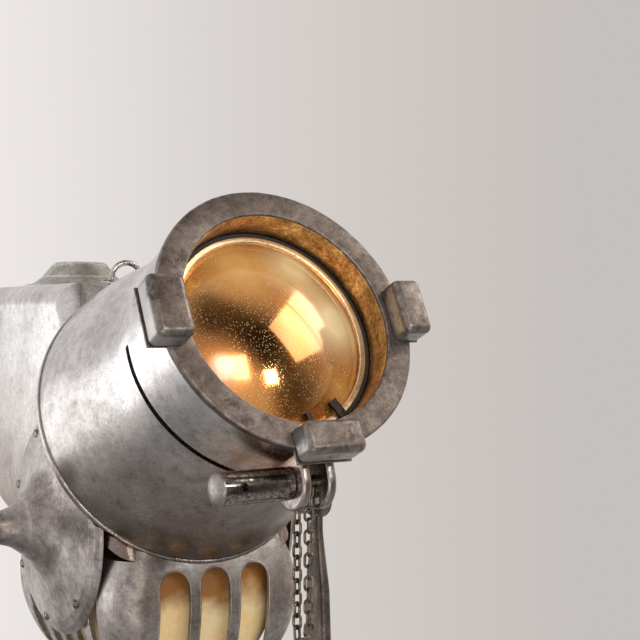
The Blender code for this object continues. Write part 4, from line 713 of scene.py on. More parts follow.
def arc_slot(start, end):
    """A slot that runs round the barrel and has round ends."""
    low, high = SLEEVE_RADIUS - 0.003, COLLAR_RADIUS + 0.004
    half = SLOT_WIDTH / 2
    reach = half / COLLAR_RADIUS
    ends = [1 - math.cos(math.pi / 2 * i / 6) for i in range(7)]
    ends[0] = 0.004
    angles = [start + reach * e for e in ends]
    count = 48
    angles += [start + reach + (end - start - 2 * reach) * i / count for i in range(1, count)]
    angles += [end - reach * e for e in reversed(ends)]
    rings = []
    for angle in angles:
        edge = min(angle - start, end - angle, reach) / reach
        tall = half * math.sqrt(max(0.0, 1 - (1 - edge) ** 2))
        rings.append([(radius * math.cos(angle), radius * math.sin(angle), -SLOT_BEHIND + side * tall)
                      for radius, side in ((low, -1), (high, -1), (high, 1), (low, 1))])
    return loft(rings)


def ear_outline():
    centre = (-CLEVIS_BELOW, -CLEVIS_BEHIND)
    round_end = arc(centre, CLEVIS_RADIUS, math.radians(100), math.radians(260), 28)
    root = -(SLEEVE_RADIUS + COLLAR_RADIUS) / 2 + 0.002
    spread = CLEVIS_RADIUS + 0.004
    return round_end + [(root, -CLEVIS_BEHIND - spread + 0.002), (root, -CLEVIS_BEHIND + spread)]


def lay_barrel():
    ears = []
    for side in (-1, 1):
        low, high = sorted((side * CLEVIS_HALF_GAP, side * CLEVIS_HALF_WIDTH))
        ears.append((softened(slab(ear_outline(), low, high, "X"), 0.0024, 4, 60), BARREL))
    slots = [(arc_slot(SLOT_START, SLOT_END), BARREL),
             (arc_slot(3 * math.pi - SLOT_END, 3 * math.pi - SLOT_START), BARREL)]
    bore = moved(rod(PIN_STEM + GAP, -0.03, 0.03, 32, "X"), (0, -CLEVIS_BELOW, -CLEVIS_BEHIND))
    barrel = piece("cast_barrel", turned(barrel_outline(), 224), BARREL, "silver_alloy", "head",
                   ["barrel_shell"], look="barrel_silver", adds=ears, cuts=slots + [(bore, BARREL)])
    cast_skin(barrel, 0.00012, 60)
    lining = [(radius - BARREL_WALL - 0.0006, height) for radius, height in
              [(COLLAR_RADIUS + (RIM_RADIUS - COLLAR_RADIUS) * swell(i / 12),
                -COLLAR_LENGTH - 0.022 - (RIM_BEHIND - COLLAR_LENGTH - 0.026) * i / 12) for i in range(13)]]
    lining += [(radius - 0.0005, height) for radius, height in reversed(lining)]
    piece("barrel_lining", turned(lining, 128), BARREL, "gold", "head")


def lay_pin():
    place = BARREL @ Matrix.Translation((0, -CLEVIS_BELOW, -CLEVIS_BEHIND))
    shoulder = -CLEVIS_HALF_WIDTH - GAP
    tip = CLEVIS_HALF_WIDTH + 0.003
    end = shoulder - PIN_LENGTH
    dome = 0.0062
    crown = [(PIN_RADIUS * math.cos(a), end + dome - dome * math.sin(a)) for a in
             (math.pi / 2 * i / 12 for i in range(12))]
    film = 0.00012
    outline = crown + [(0, end), (0, tip), (PIN_STEM, tip, 0.001), (PIN_STEM, shoulder),
                       (PIN_RADIUS, shoulder, 0.0013)]
    hole = moved(rod(0.003, -0.03, 0.03, 32), (shoulder - 0.044, 0, 0), math.radians(18.6), "X")
    piece("steel_pull_pin", turned(eased(outline), 80, "X"), place, "dark_steel", "pin", ["pull_pin"],
          cuts=[(hole, place)], look="pin_black")
    cap = [(0, end - film)] + [(radius + film, height - film) for radius, height in crown[-2::-1]]
    cap += [(PIN_RADIUS - 0.0006, end + dome + 0.0002), (0, end + 0.0008)]
    piece("pin_worn_end", turned(cap, 80, "X"), place, "dark_steel", "pin", look="pin_end")


# What repeats, by geometry nodes: the chain's links

def new_tree(name, *inputs):
    """A geometry tree with a path or points going in, named sizes, and geometry going out."""
    tree = bpy.data.node_groups.new(name, "GeometryNodeTree")
    for label, kind in (("Path", "Geometry"), *inputs, ("Finish", "Material")):
        tree.interface.new_socket(label, in_out="INPUT", socket_type="NodeSocket" + kind)
    tree.interface.new_socket("Geometry", in_out="OUTPUT", socket_type="NodeSocketGeometry")
    return tree, node(tree, "NodeGroupInput").outputs


def end_tree(tree, sizes, shapes):
    """Make real what a tree has grown, and give it its finish."""
    real = node(tree, "GeometryNodeRealizeInstances", {"Geometry": shapes})
    paint = node(tree, "GeometryNodeSetMaterial", {"Geometry": real.outputs["Geometry"],
                                                   "Material": sizes["Finish"]})
    node(tree, "NodeGroupOutput", {"Geometry": paint.outputs["Geometry"]})
    return tree


def wire_along(tree, path, radius, around):
    """A round wire along a path."""
    ring = node(tree, "GeometryNodeCurvePrimitiveCircle", {"Resolution": around, "Radius": radius})
    return node(tree, "GeometryNodeCurveToMesh", {"Curve": path, "Profile Curve": ring.outputs["Curve"]}
                ).outputs["Mesh"]


def repeated(tree, points, shape, turn, scale=(1, 1, 1)):
    """A shape on every point."""
    return node(tree, "GeometryNodeInstanceOnPoints", {
        "Points": points, "Instance": shape, "Rotation": turn, "Scale": scale}).outputs["Instances"]


def grown(thing, tree, values, name):
    """Run a tree on an object, keep the plain mesh and drop the source."""
    step = thing.modifiers.new("grow", "NODES")
    step.node_group = tree
    for item in tree.interface.items_tree:
        if item.item_type == "SOCKET" and item.in_out == "INPUT" and item.name in values:
            step[item.identifier] = values[item.name]
    mesh = plain_mesh(thing)
    bpy.data.objects.remove(thing, do_unlink=True)
    return placed(name, mesh)


def paths(lines, place, closed=False):
    """Straight-sided curves through points."""
    route = bpy.data.curves.new("route", "CURVE")
    route.dimensions = "3D"
    for points in lines:
        line = route.splines.new("POLY")
        line.points.add(len(points) - 1)
        for slot, point in zip(line.points, points):
            slot.co = (*(place @ Vector(point)), 1)
        line.use_cyclic_u = closed
    return placed("route", route)


def chain_tree():
    """Open links along a path, each a quarter turn on from the last."""
    tree, sizes = new_tree("chain_links", ("Pitch", "Float"), ("Link width", "Float"),
                           ("Wire radius", "Float"), ("Twist", "Float"))
    spots = node(tree, "GeometryNodeCurveToPoints", {"Curve": sizes["Path"], "Length": sizes["Pitch"]},
                 mode="LENGTH").outputs
    long = plus(tree, sizes["Pitch"], times(tree, sizes["Wire radius"], 2.0))
    wide = sizes["Link width"]
    oval = node(tree, "GeometryNodeCurvePrimitiveQuadrilateral", {"Width": long, "Height": wide})
    soft = node(tree, "GeometryNodeFilletCurve", {
        "Curve": oval.outputs["Curve"], "Count": 5, "Radius": times(tree, wide, 0.49)}, mode="POLY")
    wire = wire_along(tree, soft.outputs["Curve"], sizes["Wire radius"], 10)
    lay = node(tree, "GeometryNodeTransform", {"Geometry": wire, "Rotation": (0, math.pi / 2, 0)})
    number = node(tree, "GeometryNodeInputIndex").outputs["Index"]
    turn = node(tree, "ShaderNodeMath", {0: number, 1: math.pi / 2, 2: sizes["Twist"]},
                operation="MULTIPLY_ADD")
    about = node(tree, "FunctionNodeAxisAngleToRotation", {"Axis": (0, 0, 1), "Angle": turn.outputs[0]})
    spin = node(tree, "FunctionNodeRotateRotation", {
        "Rotation": spots["Rotation"], "Rotate By": about.outputs["Rotation"]}, rotation_space="LOCAL")
    links = repeated(tree, spots["Points"], lay.outputs["Geometry"], spin.outputs["Rotation"])
    return end_tree(tree, sizes, links)


def lay_chain():
    """Down from the left ear, round at the bottom, and up through the clevis to the stem."""
    place = Matrix.Translation(RING_CENTRE - FORWARD * CLEVIS_BEHIND - UPWARD * CLEVIS_BELOW)
    bend = (CHAIN_LEFT + CHAIN_RIGHT) / 2
    middle = (CHAIN_RIGHT - CHAIN_LEFT) / 2
    base = -CHAIN_DROP + 0.0045 + bend
    left_top, right_top = -CLEVIS_RADIUS - 0.004, -PIN_STEM - 0.002
    points = [(-CHAIN_LEFT, 0, left_top + (base - left_top) * i / 10) for i in range(10)]
    points += [(x, 0, z) for x, z in arc((middle, base), bend, math.pi, math.tau, 10)]
    points += [(CHAIN_RIGHT, 0, base + (right_top - base) * (i + 1) / 10) for i in range(10)]
    chain = grown(paths([points], place), chain_tree(),
                  {"Pitch": LINK_PITCH, "Link width": LINK_WIDTH, "Wire radius": LINK_WIRE,
                   "Twist": CHAIN_TWIST, "Finish": LOOKS["aged_brass"]}, "link_chain")
    dress(chain, "aged_brass", "chain", ["pin_chain"], 60)


# Screw heads

def screw_tree():
    """A screw head on every point, turned to the direction that the point carries."""
    tree, sizes = new_tree("screw_heads", ("Head", "Object"), ("Head size", "Float"))
    shape = node(tree, "GeometryNodeObjectInfo", {"Object": sizes["Head"]})
    way = node(tree, "GeometryNodeInputNamedAttribute", {"Name": "outward"}, data_type="FLOAT_VECTOR")
    face = node(tree, "FunctionNodeAlignRotationToVector", {"Vector": way.outputs["Attribute"]}, axis="Z")
    return end_tree(tree, sizes, repeated(tree, sizes["Path"], shape.outputs["Geometry"],
                                          face.outputs["Rotation"], sizes["Head size"]))


def lay_screws(name, spots, size):
    """Slotted screw heads at (point, outward direction) in the frame of the head."""
    dome = [(0, -0.0006), (SCREW_RADIUS, -0.0006), (SCREW_RADIUS, 0.0004)]
    dome += [(SCREW_RADIUS * math.cos(a), 0.0004 + 0.0015 * math.sin(a)) for a in (0.3, 0.7, 1.1)]
    head = raw("screw_head", turned(dome + [(0, SCREW_DOME)], 28), HERE)
    groove = block((-0.005, -SCREW_CUT, SCREW_DOME - 0.001), (0.005, SCREW_CUT, 0.004))
    combined(head, "DIFFERENCE", [(groove, HERE)])
    mesh = bpy.data.meshes.new("spots")
    mesh.from_pydata([tuple(HEAD @ Vector(point)) for point, _ in spots], [], [])
    layer = mesh.attributes.new("outward", "FLOAT_VECTOR", "POINT")
    layer.data.foreach_set("vector", [value for _, way in spots for value in way])
    made = grown(placed("spots", mesh), screw_tree(),
                 {"Head": head, "Head size": size, "Finish": LOOKS["dark_steel"]}, name)
    bpy.data.objects.remove(head, do_unlink=True)
    dress(made, "dark_steel", "head")


# The housing, its cage and what is inside them

def rim_rounded(shape, along, width, segments):
    """Round only the edges that run round a slab's two ends."""
    bmesh.ops.recalc_face_normals(shape, faces=shape.faces)
    rims = [e for e in shape.edges
            if abs((e.verts[0].co - e.verts[1].co).normalized().dot(along)) < 0.01
            and e.calc_face_angle(0) > math.radians(60)]
    bmesh.ops.bevel(shape, geom=rims, offset=width, segments=segments, profile=0.5, affect="EDGES")
    return shape


def on_axis(behind):
    """(y, z) from the pivot of a point on the optical axis, behind the ring's face."""
    place = Vector((0, -RING_AHEAD, RING_ABOVE)) - FORWARD * behind
    return place.y, place.z


def inset(outline, distance):
    """An outline moved inward."""
    count = len(outline)
    points = []
    for i in range(count):
        before, here, after = (Vector(outline[(i + k) % count]) for k in (-1, 0, 1))
        first, second = (here - before).normalized(), (after - here).normalized()
        first_in, second_in = Vector((-first.y, first.x)), Vector((-second.y, second.x))
        points.append(tuple(here + (first_in + second_in) * (distance / (1 + first_in.dot(second_in)))))
    return points


def housing_outline():
    """The housing from the side, with its front cut to the tilt of the barrel."""
    start = on_axis(RIM_BEHIND + GAP)
    slope = math.tan(BARREL_TILT)
    base_front = (start[0] + (HOUSING_BASE - start[1]) * slope, HOUSING_BASE)
    top_front = (start[0] + (HOUSING_TOP - start[1]) * slope, HOUSING_TOP)
    belly_start = CAGE_HALF - 0.012
    steps = 20
    belly = [(belly_start + (HOUSING_REAR - belly_start) * math.sin(a),
              HOUSING_BASE + BELLY_HEIGHT * (1 - math.cos(a)))
             for a in (math.pi / 2 * i / steps for i in range(steps + 1))]
    turn = HOUSING_EDGE + 0.003
    roof = arc((HOUSING_REAR - turn, HOUSING_TOP - turn), turn, 0, math.pi / 2, 12)
    return [base_front] + belly + roof + [top_front]


def flange_outline(grow=0.0):
    """The profile of the flange that carries the barrel."""
    plane = -RIM_BEHIND - GAP
    deep = plane - FLANGE_LENGTH - 0.012 - grow
    return eased([(0, plane + grow), (FLANGE_RADIUS + grow, plane + grow, 0.0015),
                  (FLANGE_RADIUS + grow, plane - FLANGE_LENGTH - grow, 0.003),
                  (HOUSING_HALF + 0.010 + grow, deep, 0.008), (HOUSING_HALF - 0.020, deep), (0, plane - 0.03)])


def lay_housing():
    half = HOUSING_HALF
    outline = housing_outline()
    shell = rim_rounded(slab(outline, -half, half, "X"), SIDEWAYS, HOUSING_EDGE, 10)
    room = rim_rounded(slab(inset(outline, HOUSING_WALL), HOUSING_WALL - half, half - HOUSING_WALL, "X"),
                       SIDEWAYS, HOUSING_EDGE - HOUSING_WALL / 2, 8)
    wide = 0.35
    cuts = [(room, HEAD), (rod(LIGHT_BORE, -RIM_BEHIND - 0.040, -RIM_BEHIND + 0.010, 128), BARREL),
            (block((-wide, -0.4, HOUSING_BASE - 0.2), (wide, 0.4, HOUSING_BASE)), HEAD),
            (slab(rounded_plan(half - 0.016, CAGE_HALF - 0.026, CAGE_CORNER - 0.010),
                  HOUSING_BASE - 0.020, HOUSING_BASE + 0.020, "Z"), HEAD),
            (block((DOOR_LAP - DOOR_HALF, HOUSING_REAR - 0.030, DOOR_BASE + DOOR_LAP),
                   (DOOR_HALF - DOOR_LAP, HOUSING_REAR + 0.030, DOOR_TOP - DOOR_LAP)), HEAD),
            (moved(rod(VENT_BORE, HOUSING_TOP - 0.030, HOUSING_TOP + 0.030), (0, VENT_BACK, 0)), HEAD)]
    piece("cast_housing", shell, HEAD, "silver_alloy", "head", ["housing_shell"], look="barrel_silver",
          adds=[(turned(flange_outline(), 192), BARREL)], cuts=cuts)


def shrink_at(height, thickness=0.0):
    """How far the cage's bulging wall stands in from its widest."""
    return BULGE_RADIUS - math.sqrt(BULGE_RADIUS ** 2 - (height - BULGE_HEIGHT) ** 2) + thickness


def cage_ring(height, thickness=0.0):
    shrink = shrink_at(height, thickness)
    return [(x, y, height) for x, y in rounded_plan(HOUSING_HALF - shrink, CAGE_HALF - shrink, CAGE_CORNER)]


def levels(low, high, count):
    return [low + (high - low) * i / count for i in range(count + 1)]


def cage_slots():
    """Each slot's outline, the axis of its cut, the cut's reach, and the wall's half width there."""
    for i in (-1, 0, 1):
        yield (slot_outline(i * CAGE_SLOT_PITCH, CAGE_SLOT_WIDTH, CAGE_SLOT_BASE, CAGE_SLOT_TOP),
               "Y", 0.16, CAGE_HALF)
    for i in (-2, -1, 0, 1, 2):
        yield (slot_outline(i * SIDE_SLOT_PITCH, SIDE_SLOT_WIDTH, CAGE_SLOT_BASE, SIDE_SLOT_TOP),
               "X", 0.12, HOUSING_HALF)


def bead_tree():
    """A rounded bead along closed paths, for the lips of the cage's slots."""
    tree, sizes = new_tree("slot_lips", ("Bead radius", "Float"), ("Spacing", "Float"))
    even = node(tree, "GeometryNodeResampleCurve", {"Curve": sizes["Path"], "Length": sizes["Spacing"]},
                mode="LENGTH")
    return end_tree(tree, sizes, wire_along(tree, even.outputs["Curve"], sizes["Bead radius"], 10))


def densely(outline):
    """Add points along an outline's straight sides, so that it can follow a curved wall."""
    points = []
    for i, point in enumerate(outline):
        start, end = Vector(outline[i - 1]), Vector(point)
        count = max(1, int((end - start).length / 0.002))
        points += [tuple(start.lerp(end, (k + 1) / count)) for k in range(count)]
    return points


def lay_cage():
    shell = loft([cage_ring(z) for z in levels(CAGE_BASE, CAGE_TOP, 32)])
    inner = levels(CAGE_BASE + FLOOR_WALL, CAGE_TOP, 32)
    inner[-1] = CAGE_TOP + 0.010
    cuts = [(loft([cage_ring(z, CAGE_WALL) for z in inner]), HEAD),
            (slab(rounded_plan(CAGE_MOUTH_X, CAGE_MOUTH_Y, CAGE_CORNER - 0.010), CAGE_BASE - 0.010,
                  CAGE_BASE + 0.020, "Z"), HEAD),
            (rod(RIM_RADIUS + GAP, -RIM_BEHIND - FLANGE_LENGTH, -RIM_BEHIND + 0.060, 192), BARREL)]
    cuts += [(slab(outline, -reach, reach, axis), HEAD) for outline, axis, reach, _ in cage_slots()]
    cage = piece("cast_cage", shell, HEAD, "cast_grey", "head", ["vent_cage"], 30, "cage_grey", cuts)
    cast_skin(cage, 0.00025, 60)


def lay_slot_lips():
    lips = []
    for outline, axis, _, half in cage_slots():
        for side in (-1, 1):
            walls = [(along, side * (half - shrink_at(z, LIP_INSET)), z) for along, z in densely(outline)]
            lips.append(walls if axis == "Y" else [(wall, along, z) for along, wall, z in walls])
    beads = grown(paths(lips, HEAD, closed=True), bead_tree(), {
        "Bead radius": LIP_RADIUS, "Spacing": LIP_SPACING, "Finish": LOOKS["cage_grey"]}, "cage_slot_lips")
    dress(beads, "cast_grey", "head", look="cage_grey")


def lay_shoulders():
    """The cage's wall above the housing's base, up to the rim of the barrel."""
    rising = levels(CAGE_TOP + 0.0001, CAGE_TOP + 0.040, 12)
    hollow = [rising[0] - 0.002] + rising + [rising[-1] + 0.002]
    piece("cage_shoulders", loft([cage_ring(z) for z in rising]), HEAD, "cast_grey", "head", cuts=[
        (loft([cage_ring(z, CAGE_WALL) for z in hollow]), HEAD),
        (block((-0.4, -0.4, -0.9), (0.4, 0.4, -RIM_BEHIND - 0.0006)), BARREL),
        (rod(RIM_RADIUS + GAP, -RIM_BEHIND - 0.02, -RIM_BEHIND + 0.060, 192), BARREL)],
        smooth=30, look="cage_grey")


def lay_liner():
    gap = CAGE_WALL + LINER_INSET
    rows = levels(CAGE_BASE + FLOOR_WALL + GAP, CAGE_TOP, 40)
    wall = loft([cage_ring(z, gap) for z in rows])
    room = list(rows)
    room[0] -= 0.001
    room[-1] += 0.001
    piece("gold_liner", wall, HEAD, "gold", "head", ["cage_liner"], cuts=[
        (loft([cage_ring(z, gap + LINER_WALL) for z in room]), HEAD),
        (rod(RIM_RADIUS + 2 * LINER_WALL, -RIM_BEHIND - FLANGE_LENGTH - LINER_WALL, -RIM_BEHIND + 0.060, 192),
         BARREL)], look="liner_gold")


def lay_cage_floor():
    plate_top = CAGE_BASE - GAP
    plan = rounded_plan(CAGE_MOUTH_X + 0.012, CAGE_MOUTH_Y + 0.012, CAGE_CORNER - 0.004)
    bore = moved(rod(GLAND_BORE, plate_top - 0.03, plate_top + 0.03), (0, GLAND_BACK, 0))
    piece("cast_floor", softened(slab(plan, plate_top - FLOOR_WALL, plate_top, "Z"), 0.0012, 3, 60), HEAD,
          "silver_alloy", "head", ["cage_floor"], cuts=[(bore, HEAD)], look="barrel_silver")
    neck, base = GLAND_BORE - GAP, plate_top - FLOOR_WALL - GAP
    gland = turned(eased([(0.0035, plate_top + 0.006), (0.0035, base - 0.016), (0.0075, base - 0.016, 0.001),
                          (0.0095, base - 0.012, 0.001), (0.0095, base, 0.0006), (neck, base),
                          (neck, plate_top + 0.006)]), 48)
    piece("rubber_gland", moved(gland, (0, GLAND_BACK, 0)), HEAD, "rubber", "head", ["cable_gland"])


def lay_lamp():
    centre = on_axis(LAMP_BEHIND)
    place = HEAD @ Matrix.Translation((0, centre[0], 0))
    top = centre[1] - BULB_RADIUS - 0.002
    base = top - 0.030
    piece("steel_post", tube(LAMP_POST, LAMP_POST - 0.002, CAGE_BASE, base - GAP), place, "dark_steel",
          "head", ["lamp_post"])
    piece("ceramic_holder", rod(LAMP_HOLDER, base, top, 64, ease=0.0025), place, "ceramic", "head",
          ["lamp_holder"])
    globe = [(BULB_RADIUS * math.sin(a), centre[1] - BULB_RADIUS * math.cos(a))
             for a in (math.pi * i / 36 for i in range(12, 37))]
    globe = [(0, top + GAP), (0.012, top + GAP, 0.001), (0.014, globe[0][1] - 0.006, 0.004)] + globe
    piece("glass_bulb", turned(eased(globe), 64), place, "clear_glass", "head", ["bulb"], smooth=60)
    depth = DISH_RADIUS ** 2 / (4 * DISH_FOCUS)
    vertex = -LAMP_BEHIND - DISH_FOCUS - 0.006
    curve = [(DISH_RADIUS * i / 24, vertex + depth * (i / 24) ** 2) for i in range(25)]
    back = [(radius, height - DISH_WALL) for radius, height in reversed(curve)]
    notch = rod(LAMP_HOLDER + 0.003, base - 0.080, centre[1], 48)
    piece("gold_dish", turned(curve + back, 96), BARREL, "gold", "head", ["reflector"], cuts=[(notch, place)],
          smooth=50)


def lay_cheeks():
    """The side plates, with the trunnions that the head turns on."""
    inner = HOUSING_HALF + GAP
    end = YOKE_HALF_GAP - WASHER
    outline = eased([
        (0, inner), (CHEEK_RADIUS, inner, 0.0006), (CHEEK_RADIUS - 0.001, inner + 0.003, 0.002),
        (CHEEK_RADIUS - 0.005, inner + CHEEK_EDGE - 0.002, 0.003),
        (CHEEK_RADIUS - 0.012, inner + CHEEK_EDGE + 0.001, 0.006), (0.045, inner + 0.018, 0.03),
        (0.032, inner + 0.028, 0.02), (0.024, inner + 0.036, 0.02),
        (TRUNNION_RADIUS + 0.003, inner + 0.046, 0.02), (TRUNNION_RADIUS, inner + 0.056, 0.02),
        (TRUNNION_RADIUS, end, 0.001), (BOLT_RADIUS + GAP, end, 0.0004),
        (BOLT_RADIUS + GAP, end - BOLT_DEPTH), (0, end - BOLT_DEPTH)], 0, 8)
    for side, name in SIDES:
        cheek = turned([(radius, side * x) for radius, x in outline], 160, "X")
        cuts = [(turned(flange_outline(0.0005), 160), BARREL),
                (rod(RIM_RADIUS + GAP, -RIM_BEHIND - GAP, 0, 160), BARREL)]
        cheek = piece(name + "_cheek", cheek, HEAD, "silver_alloy", "head", ["side_cheek_" + name],
                      look="cage_grey", cuts=cuts)
        cast_skin(cheek, 0.00015, 50)


def lay_cowl():
    cowl = eased([(VENT_BORE, ROOF), (0.058, ROOF, 0.0004), (0.058, ROOF + 0.0014, 0.0006),
                  (0.047, ROOF + 0.0035, 0.012), (0.0385, ROOF + 0.0105, 0.014), (0.0305, ROOF + 0.020, 0.014),
                  (0.0275, COWL_TOP - 0.0015, 0.004), (0.024, COWL_TOP, 0.003), (0, COWL_TOP),
                  (0, COWL_TOP - 0.003), (VENT_BORE, COWL_TOP - 0.005, 0.004)], 0, 6)
    piece("cast_cowl", moved(turned(cowl, 128), (0, VENT_BACK, 0)), HEAD, "silver_alloy", "head",
          ["vent_cowl"], look="cowl_olive")


def lay_eye():
    """A wire eye on a small foot, its hoop cut off inside the foot."""
    base = block((-0.024, EYE_BACK - 0.007, ROOF), (0.024, EYE_BACK + 0.007, ROOF + 0.003))
    middle = COWL_TOP - 0.002 - EYE_RADIUS
    ring = turned(arc((EYE_RADIUS - EYE_WIRE, 0), EYE_WIRE, 0, math.tau * 19 / 20, 19), 96, "Y")
    trim = block((-0.05, EYE_BACK - 0.02, middle - 0.05), (0.05, EYE_BACK + 0.02, ROOF + 0.0015))
    hoop = raw("hoop", moved(ring, (0, EYE_BACK, middle)), HEAD)
    combined(hoop, "DIFFERENCE", [(trim, HEAD)])
    both = mesh_shape(hoop.data)
    bpy.data.objects.remove(hoop, do_unlink=True)
    piece("steel_lifting_eye", softened(base, 0.0012, 3), HEAD, "dark_steel", "head", ["lifting_eye"],
          adds=[(both, HERE)])


def lay_small_screws():
    reach = CHEEK_RADIUS - 0.0135
    plate = HOUSING_HALF + GAP + CHEEK_EDGE + 0.0012
    for side, name in SIDES:
        spots = [((side * plate, reach * math.cos(a), reach * math.sin(a)), (side, 0, 0)) for a in CHEEK_SCREWS]
        lay_screws(name + "_cheek_screws", spots, 1.15)
    skirt = 0.0525
    spots = [((skirt * math.cos(a), VENT_BACK + skirt * math.sin(a), ROOF + 0.0020), (0, 0, 1))
             for a in (0.4, 0.4 + math.tau / 3, 0.4 + 2 * math.tau / 3)]
    spots += [((x, EYE_BACK, ROOF + 0.003), (0, 0, 1)) for x in (-0.0205, 0.0205)]
    lay_screws("roof_screws", spots, 0.8)
    x = -DOOR_HALF - HINGE_RADIUS - 0.0107
    lay_screws("hinge_screws", [((x, HOUSING_REAR + GAP + 0.0025, z), (0, 1, 0)) for z in
                                (DOOR_BASE + 0.012, (DOOR_BASE + DOOR_TOP) / 2, DOOR_TOP - 0.012)], 0.75)


def lay_door():
    face = HOUSING_REAR + GAP
    axis_x, axis_y = -DOOR_HALF - HINGE_RADIUS - 0.001, face + HINGE_RADIUS
    place = HEAD @ Matrix.Translation((axis_x, axis_y, 0))
    third = (DOOR_TOP - DOOR_BASE) / 3
    low, high = DOOR_BASE + third + GAP, DOOR_BASE + 2 * third - GAP
    plate = eased([(-DOOR_HALF - axis_x, DOOR_BASE, 0.002), (DOOR_HALF - axis_x, DOOR_BASE, 0.006),
                   (DOOR_HALF - axis_x, DOOR_TOP, 0.006), (-DOOR_HALF - axis_x, DOOR_TOP, 0.002)])
    plate = softened(slab(plate, face - axis_y, face - axis_y + DOOR_WALL, "Y"), 0.0012, 3, 60)
    strap = block((0.0024, -HINGE_RADIUS + 0.0005, low), (HINGE_RADIUS + 0.003, -HINGE_RADIUS + 0.003, high))
    piece("door_plate", plate, place, "silver_alloy", "door", ["rear_door"], look="barrel_silver",
          adds=[(strap, place), (tube(HINGE_RADIUS, HINGE_PIN + GAP / 2, low, high, 40), place)],
          cuts=[(rod(HINGE_PIN + GAP / 2, DOOR_BASE - 0.01, DOOR_TOP + 0.01, 32), place)])
    leaf = block((-0.017, 0.0001 - HINGE_RADIUS, DOOR_BASE + GAP),
                 (-0.0024, 0.0025 - HINGE_RADIUS, DOOR_TOP - GAP))
    knuckles = [(tube(HINGE_RADIUS - GAP, HINGE_PIN + GAP / 2, start, start + third, 40), place)
                for start in (DOOR_BASE, DOOR_BASE + 2 * third)]
    piece("steel_hinge", softened(leaf, 0.0004, 2), place, "dark_steel", "head", ["door_hinge"], adds=knuckles,
          cuts=[(rod(HINGE_RADIUS + 2 * GAP, low - 2 * GAP, high + 2 * GAP, 32), place),
                (rod(HINGE_PIN + GAP / 2, DOOR_BASE - 0.01, DOOR_TOP + 0.01, 32), place)])
    out = face - axis_y + DOOR_WALL + GAP
    knob = turned(eased([(0, out), (0.006, out), (0.0045, out + 0.006, 0.003), (0.009, out + 0.011, 0.003),
                         (0.0105, out + 0.016, 0.003), (0.008, out + 0.020, 0.002), (0, out + 0.021)]), 64, "Y")
    knob = moved(knob, (DOOR_HALF - 0.014 - axis_x, 0, (DOOR_BASE + DOOR_TOP) / 2))
    piece("steel_door_knob", knob, place, "bright_steel", "door", ["door_knob"])


# Yoke, swivel, column and legs

def yoke_section(height):
    """Half the strap's width, and its thickness, at a height on the arm."""
    share = min(1.0, max(0.0, (YOKE_WIDENS - height) / (YOKE_WIDENS - YOKE_FULL)))
    half = YOKE_NECK + (YOKE_ARM - YOKE_NECK) * (share * share * (3 - 2 * share) * 0.5 + share * 0.5)
    half += (YOKE_BAR - YOKE_ARM) * min(1.0, max(0.0, (YOKE_FULL - height) / (YOKE_FULL + YOKE_DROP)))
    return half, YOKE_THIN + (YOKE_THICK - YOKE_THIN) * share


def yoke_ring(place, outward, half, thick):
    """One cross-section of the strap."""
    corners = eased([(0, half), (thick, half), (thick, -half), (0, -half)], 0.3 * thick, 3)
    return [(place[0] + outward[0] * deep, wide, place[1] + outward[1] * deep) for deep, wide in corners]


def lay_yoke():
    rings = []
    heights = [0.0, -0.016] + levels(YOKE_WIDENS, YOKE_FULL, 10) + levels(-0.10, -YOKE_DROP + YOKE_BEND, 6)
    for height in heights:
        half, thick = yoke_section(height)
        rings.append(yoke_ring((YOKE_HALF_GAP, height), (1, 0), half, thick))
    centre = (YOKE_HALF_GAP - YOKE_BEND, -YOKE_DROP + YOKE_BEND)
    for i in range(1, 19):
        angle = -math.pi / 2 * i / 18
        outward = (math.cos(angle), math.sin(angle))
        rings.append(yoke_ring((centre[0] + YOKE_BEND * outward[0], centre[1] + YOKE_BEND * outward[1]),
                               outward, YOKE_BAR, YOKE_THICK))
    mirrored = [[(-x, y, z) for x, y, z in ring] for ring in reversed(rings)]
    adds, outer = [], YOKE_HALF_GAP + YOKE_THICK
    for side in (-1, 1):
        low, high = sorted((side * (YOKE_HALF_GAP - GAP), side * outer))
        adds.append((rod(YOKE_BOSS, low, high, 80, "X", 0.0022), HEAD))
    yoke = piece("cast_yoke", loft(rings + mirrored), HEAD, "cast_grey", "yoke", ["yoke"], adds=adds,
                 cuts=[(rod(BOLT_RADIUS + GAP, -0.25, 0.25, 48, "X"), HEAD),
                       (rod(YOKE_HOLE, -YOKE_DROP - 0.03, -YOKE_DROP + 0.03, 48), HEAD)])
    cast_skin(yoke, 0.0002, 60)
    seat = outer + GAP
    shank = YOKE_HALF_GAP - WASHER - BOLT_DEPTH + 0.002
    for side, name in SIDES:
        washer = tube(YOKE_BOSS - 0.003, BOLT_RADIUS + GAP, side * (YOKE_HALF_GAP - WASHER + GAP),
                      side * (YOKE_HALF_GAP - 2 * GAP), 64, "X", 0.0005)
        piece("pivot_washer_" + name, washer, HEAD, "rubber", "yoke", ["tilt_washer_" + name])
    head = eased([(0.0095, seat), (0.0095, seat + 0.004, 0.001), (0.0040, seat + 0.004, 0.0004),
                  (0.0040, seat + 0.0015), (0, seat + 0.0015), (0, shank), (BOLT_RADIUS, shank, 0.0008),
                  (BOLT_RADIUS, seat)])
    piece("socket_bolt", turned(head, 64, "X"), HEAD, "bright_steel", "yoke", ["pivot_bolt"])
    lay_knob("tilt_knob", (0, 0, 0), "-X", seat, 0.026, BOLT_RADIUS, shank, "tilt_screw")


